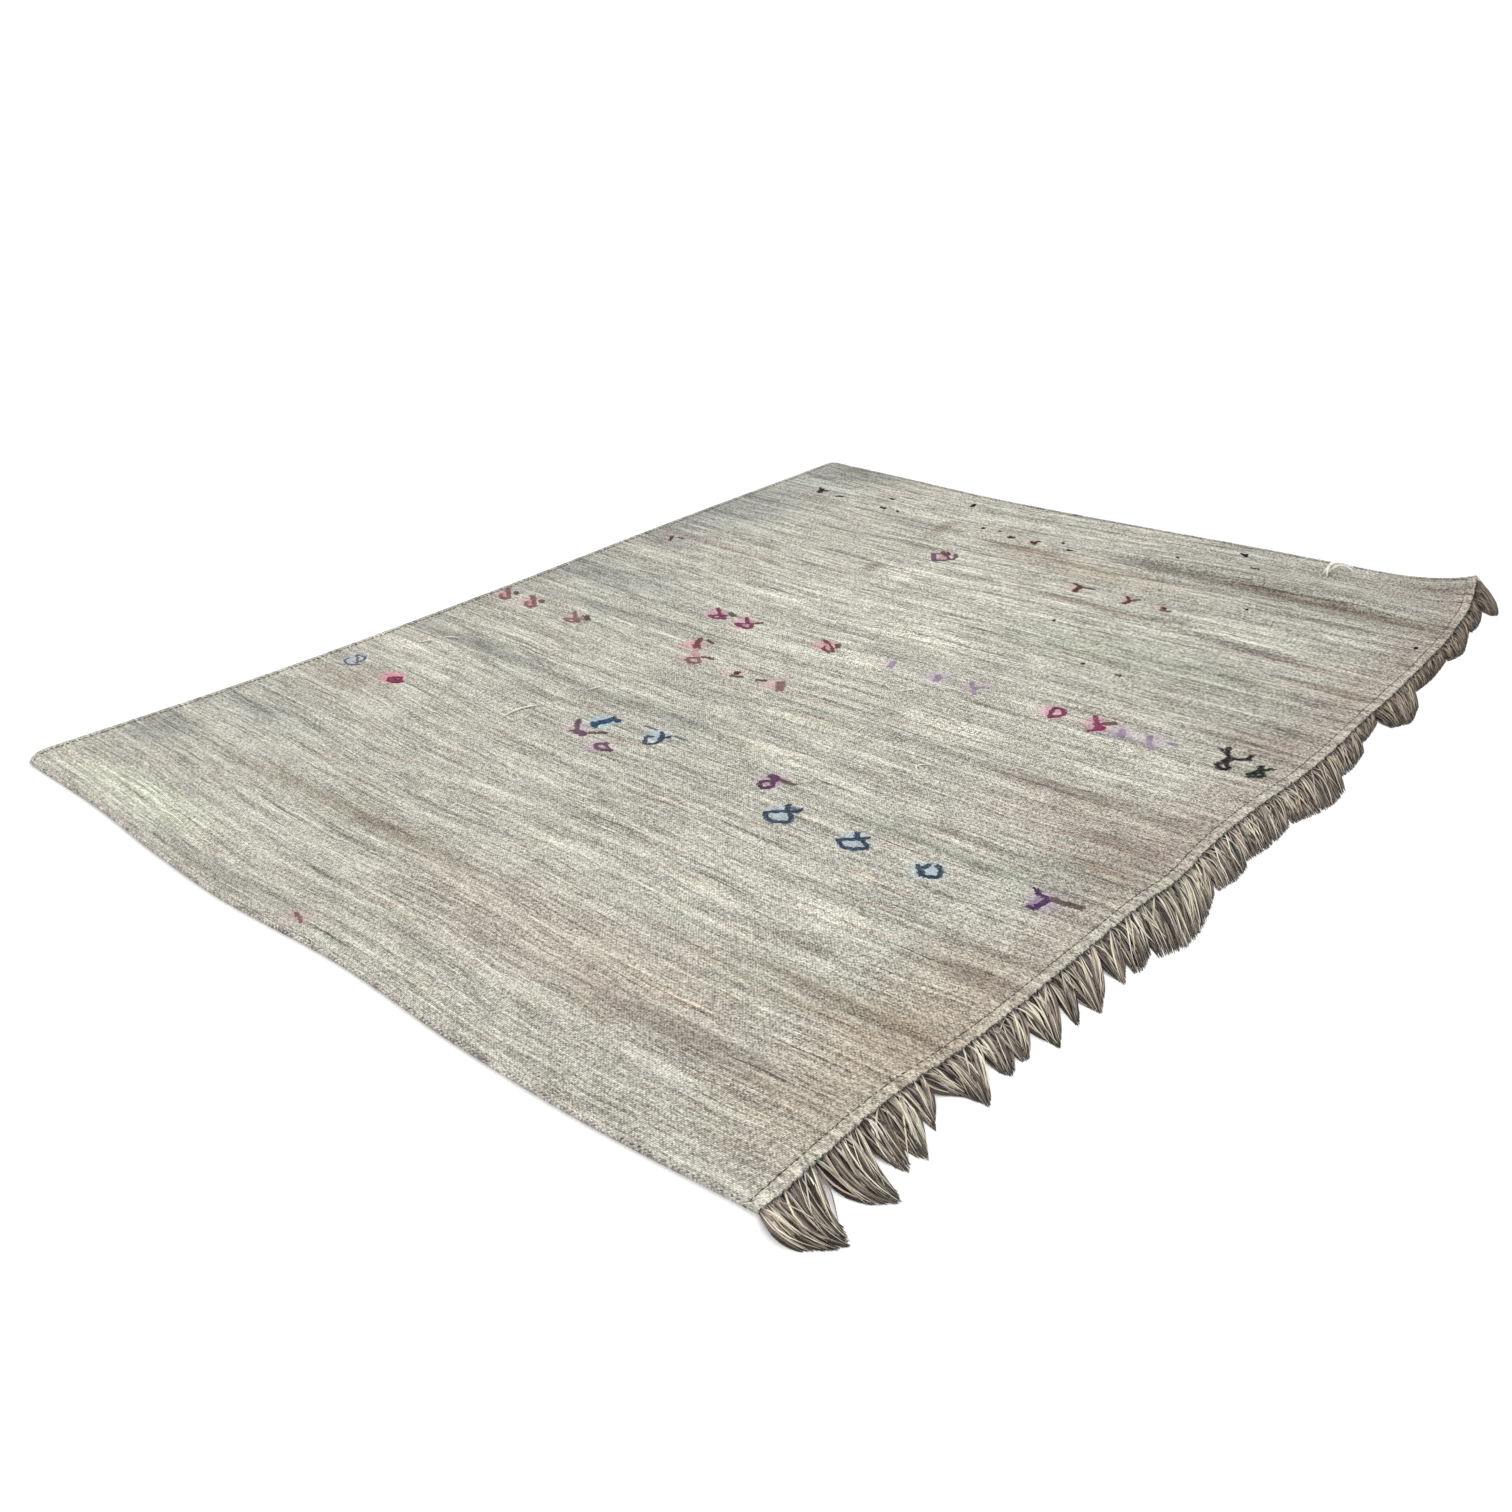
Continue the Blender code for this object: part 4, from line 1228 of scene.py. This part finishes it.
def blades_of(number, layer, chance):
    """Choose the blades of one layer of one clump."""
    clump = CLUMPS[number]
    span = clump.last - clump.first
    count = max(round(span / layer.spacing), 3)
    share = (np.arange(count) + chance.uniform(0.0, 1.0, count)) / count
    tip = clump.first + span * share
    lock, off_lock = locks_of(clump, tip, np.random.default_rng(number))
    aside = (share - clump.aim) / max(clump.aim, 1.0 - clump.aim)
    length = (1.0 - clump.droop * np.abs(aside) ** 1.5) * chance.uniform(layer.shortest, 1.0, count)
    length = length * (1.0 - SIDE_SHORTER * off_lock)
    stray = tip + chance.normal(0.0, layer.stray, count)
    # Lower layers take darker tones, as painted shade under the blades above.
    pick = np.clip(chance.normal(layer.tone, layer.spread, count), 0.0, len(LEAF_TONES) - 1.01)
    return Blades(
        tip=tip,
        root=np.clip(stray, clump.first - ROOT_PAST_CLUMP, clump.last + ROOT_PAST_CLUMP),
        reach=clump.out * length,
        clump=np.full(count, number),
        lock=lock,
        height=chance.uniform(layer.low, layer.high, count),
        width=layer.width * chance.uniform(*BLADE_WIDTHS, count),
        roll=chance.normal(0.0, BLADE_ROLL, count),
        twist=chance.normal(0.0, BLADE_TWIST, count),
        bow=chance.normal(0.0, BLADE_BOW, count),
        colour=tone_of(pick)
        * (1.0 + chance.normal(0.0, BLADE_TONES, (count, 3)))
        * edge_offset(FRINGE_AGE, tip)[:, None] ** AGEING,
    )


def spines_of(blades, shares):
    """The middle line of each blade, which leaves the hem and bends down to lie on the floor."""
    clumps = np.array([CLUMPS[number] for number in blades.clump])
    first, last, full_reach, gather, aim, _, curl, _ = clumps.T[..., None]
    out = blades.reach[:, None] * shares
    part = out / full_reach
    drawn_in = (blades.tip[:, None] - (first + (last - first) * aim)) * gather * part**GATHER_POWER
    drawn_in = drawn_in + (blades.tip - blades.lock)[:, None] * LOCK_GATHER * shares**2
    bend = 1.0 - LOCK_BEND * (1.0 - out / LOCK_BEND_REACH)
    lean = edge_offset(FRINGE_LEAN, blades.tip)[:, None] * out * bend
    start = hem_foot(blades.root)
    end = hem_foot(blades.tip)
    to_start = (1.0 - shares) ** FALL_POWER
    x = end[:, 0, None] + (start - end)[:, 0, None] * to_start - ROOT_INSET + out
    y = end[:, 1, None] + (start - end)[:, 1, None] * to_start - drawn_in - lean
    y = y + curl * part**3 - 0.25 * curl * np.sin(math.pi * part)
    y = y + blades.bow[:, None] * np.sin(math.pi * shares)
    fall = np.clip(1.0 - shares / FALL_SHARE, 0.0, 1.0) ** FALL_POWER
    rise = (REST_HEIGHT + REST_SHARE * blades.height)[:, None] * (1.0 - 0.75 * shares)
    pile = blades.height[:, None] * np.sin(math.pi * shares**0.8) ** 0.9
    return np.stack([x, y, start[:, 2, None] * fall + rise + pile], axis=-1)


def corners_of(blades, shares, half):
    """The left, right and ridge points of each blade at shares of its length, above the floor."""
    spine = spines_of(blades, shares)
    level, up = frames_along(spine)
    roll = (blades.roll[:, None] + blades.twist[:, None] * shares)[..., None]
    side = level * np.cos(roll) + up * np.sin(roll)
    face = up * np.cos(roll) - level * np.sin(roll)
    ridge = spine + face * (half * RIDGE_STEEPNESS + RIDGE_HEIGHT)
    corners = np.stack([spine - side * half, spine + side * half, ridge], axis=2)
    lowest = BLADE_FLOOR_GAP + np.array([0.0, 0.0, BLADE_THICKNESS])
    corners[..., 2] = np.maximum(corners[..., 2], lowest)
    return corners


def leaf_colours(blades, shares):
    """Each blade's colour, with painted shade under the hem and towards its tip."""
    colours = np.array([linear(colour) for colour in np.clip(blades.colour, 0.0, 1.0)])
    out_of_hem = np.clip((blades.reach[:, None] * shares - SHADE_START) / SHADE_REACH, 0.0, 1.0)
    hem_shadow = SHADE_IN_HEM + (1.0 - SHADE_IN_HEM) * out_of_hem
    tip_shading = 1.0 - TIP_SHADE * np.clip((shares - 1.0) / TIP_SHARE + 1.0, 0.0, 1.0)
    shaded = colours[:, None, :] * (hem_shadow * tip_shading)[..., None]
    return np.concatenate([shaded, np.ones((*shaded.shape[:2], 1))], axis=-1)


def make_fringe(material, chance):
    """The loose leaf ends, each a pointed blade folded along its middle."""
    rows = [blades_of(number, layer, chance) for layer in LAYERS for number in range(len(CLUMPS))]
    blades = Blades(*(np.concatenate(values) for values in zip(*rows)))
    shares, fullness = np.array(BLADE_SHAPE).T
    half = (blades.width[:, None] * fullness / 2)[..., None]
    corners = corners_of(blades, shares, half).reshape(-1, 3)
    shape = [face[::-1] for face in tube_faces(len(shares), 3)]
    faces = []
    for first in range(0, len(corners), 3 * len(shares)):
        faces += [tuple(first + corner for corner in face) for face in shape]
    fringe = new_piece("fringe_leaves", corners, faces, material)
    fringe.data.shade_flat()

    own = np.arange(len(blades.tip))[:, None, None]
    beside = np.array([-1.0, 1.0, 0.0]) * half + OWN_PLACE[0] * own
    onward = (blades.reach[:, None] * shares)[..., None] + OWN_PLACE[1] * own
    places = np.stack(np.broadcast_arrays(beside, onward), axis=-1)
    set_places(fringe, "leaf", places.reshape(-1, 2))
    colours = leaf_colours(blades, shares)
    set_colours(fringe, "leaf_colour", np.repeat(colours[:, :, None, :], 3, axis=2).reshape(-1, 4))
    return fringe


# The wool marks and the loose ends


def places_on_stroke(mark, points, step):
    """Evenly spaced places along a stroke with its corners rounded, on the floor."""
    corners = np.array((mark.x, mark.y)) + np.array(points) * MILLIMETRE
    for _ in range(2):
        before = 0.75 * corners[:-1] + 0.25 * corners[1:]
        after = 0.25 * corners[:-1] + 0.75 * corners[1:]
        cut = np.stack([before, after], axis=1)
        corners = np.concatenate([corners[:1], cut.reshape(-1, 2), corners[-1:]])
    lengths = np.concatenate([[0.0], np.cumsum(np.linalg.norm(np.diff(corners, axis=0), axis=1))])
    places = np.linspace(0.0, lengths[-1], max(round(lengths[-1] / step), 2) + 1)
    return np.stack([np.interp(places, lengths, corners[:, axis]) for axis in (0, 1)], axis=-1)


def sew_course(mark, width, points, course, chance):
    """The stitches of one course of a stroke, in strands side by side, and how worn each stitch is."""
    stitches = []
    wear = []
    strands = max(round((width * MILLIMETRE + course.wider) / course.yarn), 1)
    places = places_on_stroke(mark, points, course.step)
    for place, way in zip(places, np.gradient(places, axis=0)):
        way = way / np.linalg.norm(way)
        beside = np.array((-way[1], way[0]))
        for strand in range(strands):
            aside = (strand - (strands - 1) / 2) * course.yarn * STRAND_SPACING
            here = place + beside * aside + chance.normal(0.0, course.stray, 2)
            height = height_at(surface, *here) + course.rise + chance.uniform(0.0, YARN_UNEVEN)
            turned = way + [chance.normal(0.0, turn) for turn in YARN_TURN]
            length = chance.uniform(*YARN_LENGTHS) * course.yarn
            broad = chance.uniform(*YARN_WIDTHS) * course.yarn
            stitches.append(stitch(np.array((*here, height)), turned, length, broad, course.thick))
            wear.append(np.clip(chance.normal(course.wear, WEAR_SPREAD), 0.0, MOST_WORN))
    return stitches, wear


def make_mark(number, mark, yarns, chance):
    """One wool mark, in one piece for each of its yarns."""
    sewn = {}
    for width, wool, *points in FORMS[mark.form]:
        parts = sewn.setdefault(wool or mark.wool, ([], []))
        for course in COURSES:
            stitches, wear = sew_course(mark, width, points, course, chance)
            parts[0].extend(stitches)
            parts[1].extend(wear)
    pieces = []
    for wool, (stitches, wear) in sewn.items():
        piece = gathered(f"mark_{number:02d}_{wool}", stitches, yarns[wool])
        shares = np.repeat(wear, len(stitches[0][0]))
        set_colours(piece, "wear", np.stack([shares, shares, shares, np.ones(len(shares))], axis=-1))
        pieces.append(piece)
    return pieces


def make_specks(yarns, chance):
    """The dark knots, each of three stitches, in one piece for each colour of yarn."""
    pieces = []
    for wool, specks in SPECKS.items():
        parts = []
        for speck in specks:
            for _ in range(3):
                here = np.array((speck.x, speck.y)) + chance.normal(0.0, speck.size / 5, 2)
                centre = np.array((*here, height_at(surface, *here) + 0.0008))
                way = chance.normal(0.0, 1.0, 2)
                parts.append(stitch(centre, way, speck.size * 0.7, speck.size * 0.35, KNOT_HEIGHT))
        pieces.append(gathered(f"knots_{wool}", parts, yarns[wool]))
    return pieces


def make_straw_ends(material):
    """Short ends of pale straw that have worked loose and lie on the weave."""
    share = np.linspace(-0.5, 0.5, 9)
    parts = []
    for end in STRAW_ENDS:
        turn = math.radians(end.turn)
        ahead = np.array((math.cos(turn), math.sin(turn)))
        beside = np.array((-ahead[1], ahead[0]))
        bow = end.bend * end.length * (0.25 - share**2) * 2.0
        plan = np.array((end.x, end.y)) + share[:, None] * end.length * ahead + bow[:, None] * beside
        z = surface(plan[:, 0], plan[:, 1]) + 0.0010 + end.rise * (1.0 - (2.0 * share) ** 2)
        radii = end.thickness / 2 * (1.0 - 0.75 * np.abs(2.0 * share) ** 3)
        parts.append(tube(np.column_stack([plan, z]), radii, sides=6))
    return gathered("straw_ends", parts, material)


# The stage


def add_camera():
    """The camera, held above the near corner."""
    data = bpy.data.cameras.new("camera")
    data.lens = CAMERA_LENS_MM
    data.sensor_width = SENSOR_MM
    camera = bpy.data.objects.new("camera", data)
    forward = CAMERA_FORWARD.normalized()
    right = forward.cross(CAMERA_UP).normalized()
    turned = Matrix((right, right.cross(forward), -forward)).transposed().to_4x4()
    camera.matrix_world = Matrix.Translation(CAMERA_PLACE) @ turned
    bpy.context.scene.collection.objects.link(camera)
    bpy.context.scene.camera = camera


def add_light():
    """Soft daylight from all sides, stronger from the far left."""
    world = bpy.data.worlds.new("studio")
    world.use_nodes = True
    background = world.node_tree.nodes["Background"]
    background.inputs["Color"].default_value = (1.0, 1.0, 1.0, 1.0)
    background.inputs["Strength"].default_value = 1.0
    bpy.context.scene.world = world
    data = bpy.data.lights.new("key", "SUN")
    data.energy = SUN_STRENGTH
    data.angle = math.radians(SUN_WIDTH_DEGREES)
    data.color = SUN_COLOUR
    key = bpy.data.objects.new("key", data)
    key.rotation_euler = SUN_DIRECTION.to_track_quat("-Z", "Y").to_euler()
    bpy.context.scene.collection.objects.link(key)
    bpy.context.scene.view_settings.view_transform = "Standard"


def add_floor():
    """A wide plain floor just under the mat."""
    corners = [(FLOOR_REACH * x, FLOOR_REACH * y, 0.0) for x, y in ((-1, -1), (1, -1), (1, 1), (-1, 1))]
    floor = new_piece("floor", corners, [(0, 1, 2, 3)], floor_material())
    floor.location.z = -FLOOR_DROP
    return floor


def make_edges(weave, chance):
    """The two hems with their seams, and the two corded selvages."""
    cord = cord_material()
    thread = yarn_material("seam_thread", SEAM_THREAD)
    fringed = HALF_WIDTH - FRINGED_HEM_WIDTH
    plain = -HALF_WIDTH + PLAIN_HEM_WIDTH
    return [
        make_hem("fringed_hem", HALF_WIDTH, fringed, FRINGED_HEM_THICKNESS, weave),
        make_hem("plain_hem", -HALF_WIDTH, plain, PLAIN_HEM_THICKNESS, weave),
        make_seam("fringed_seam", fringed + SEAM_ASIDE, FRINGED_SEAM_HEIGHT, chance, thread),
        make_seam("plain_seam", plain - SEAM_ASIDE, PLAIN_SEAM_HEIGHT, chance, thread),
        make_selvage("near_selvage", -HALF_LENGTH + CORD_INSET, cord),
        make_selvage("far_selvage", HALF_LENGTH - CORD_INSET, cord),
    ]


def main():
    """Lay the mat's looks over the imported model."""
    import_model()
    chance = np.random.default_rng(SEED)

    weave = weave_material()
    sheet = make_sheet(weave)
    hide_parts("mat")
    edges = make_edges(weave, chance)
    fringe = make_fringe(leaf_material(), chance)
    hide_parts("fringe")

    yarns = {name: yarn_material(f"wool_{name}", wool.yarn) for name, wool in WOOLS.items()}
    marks = []
    for number, mark in enumerate(MARKS, start=1):
        marks += make_mark(number, mark, yarns, chance)
    marks += make_specks(yarns, chance)
    ends = make_straw_ends(yarn_material("pale_straw", PALE_STRAW))

    for piece in [sheet, *edges, fringe, *marks, ends]:
        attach(piece, "root")

    floor = add_floor()
    add_camera()
    add_light()


main()
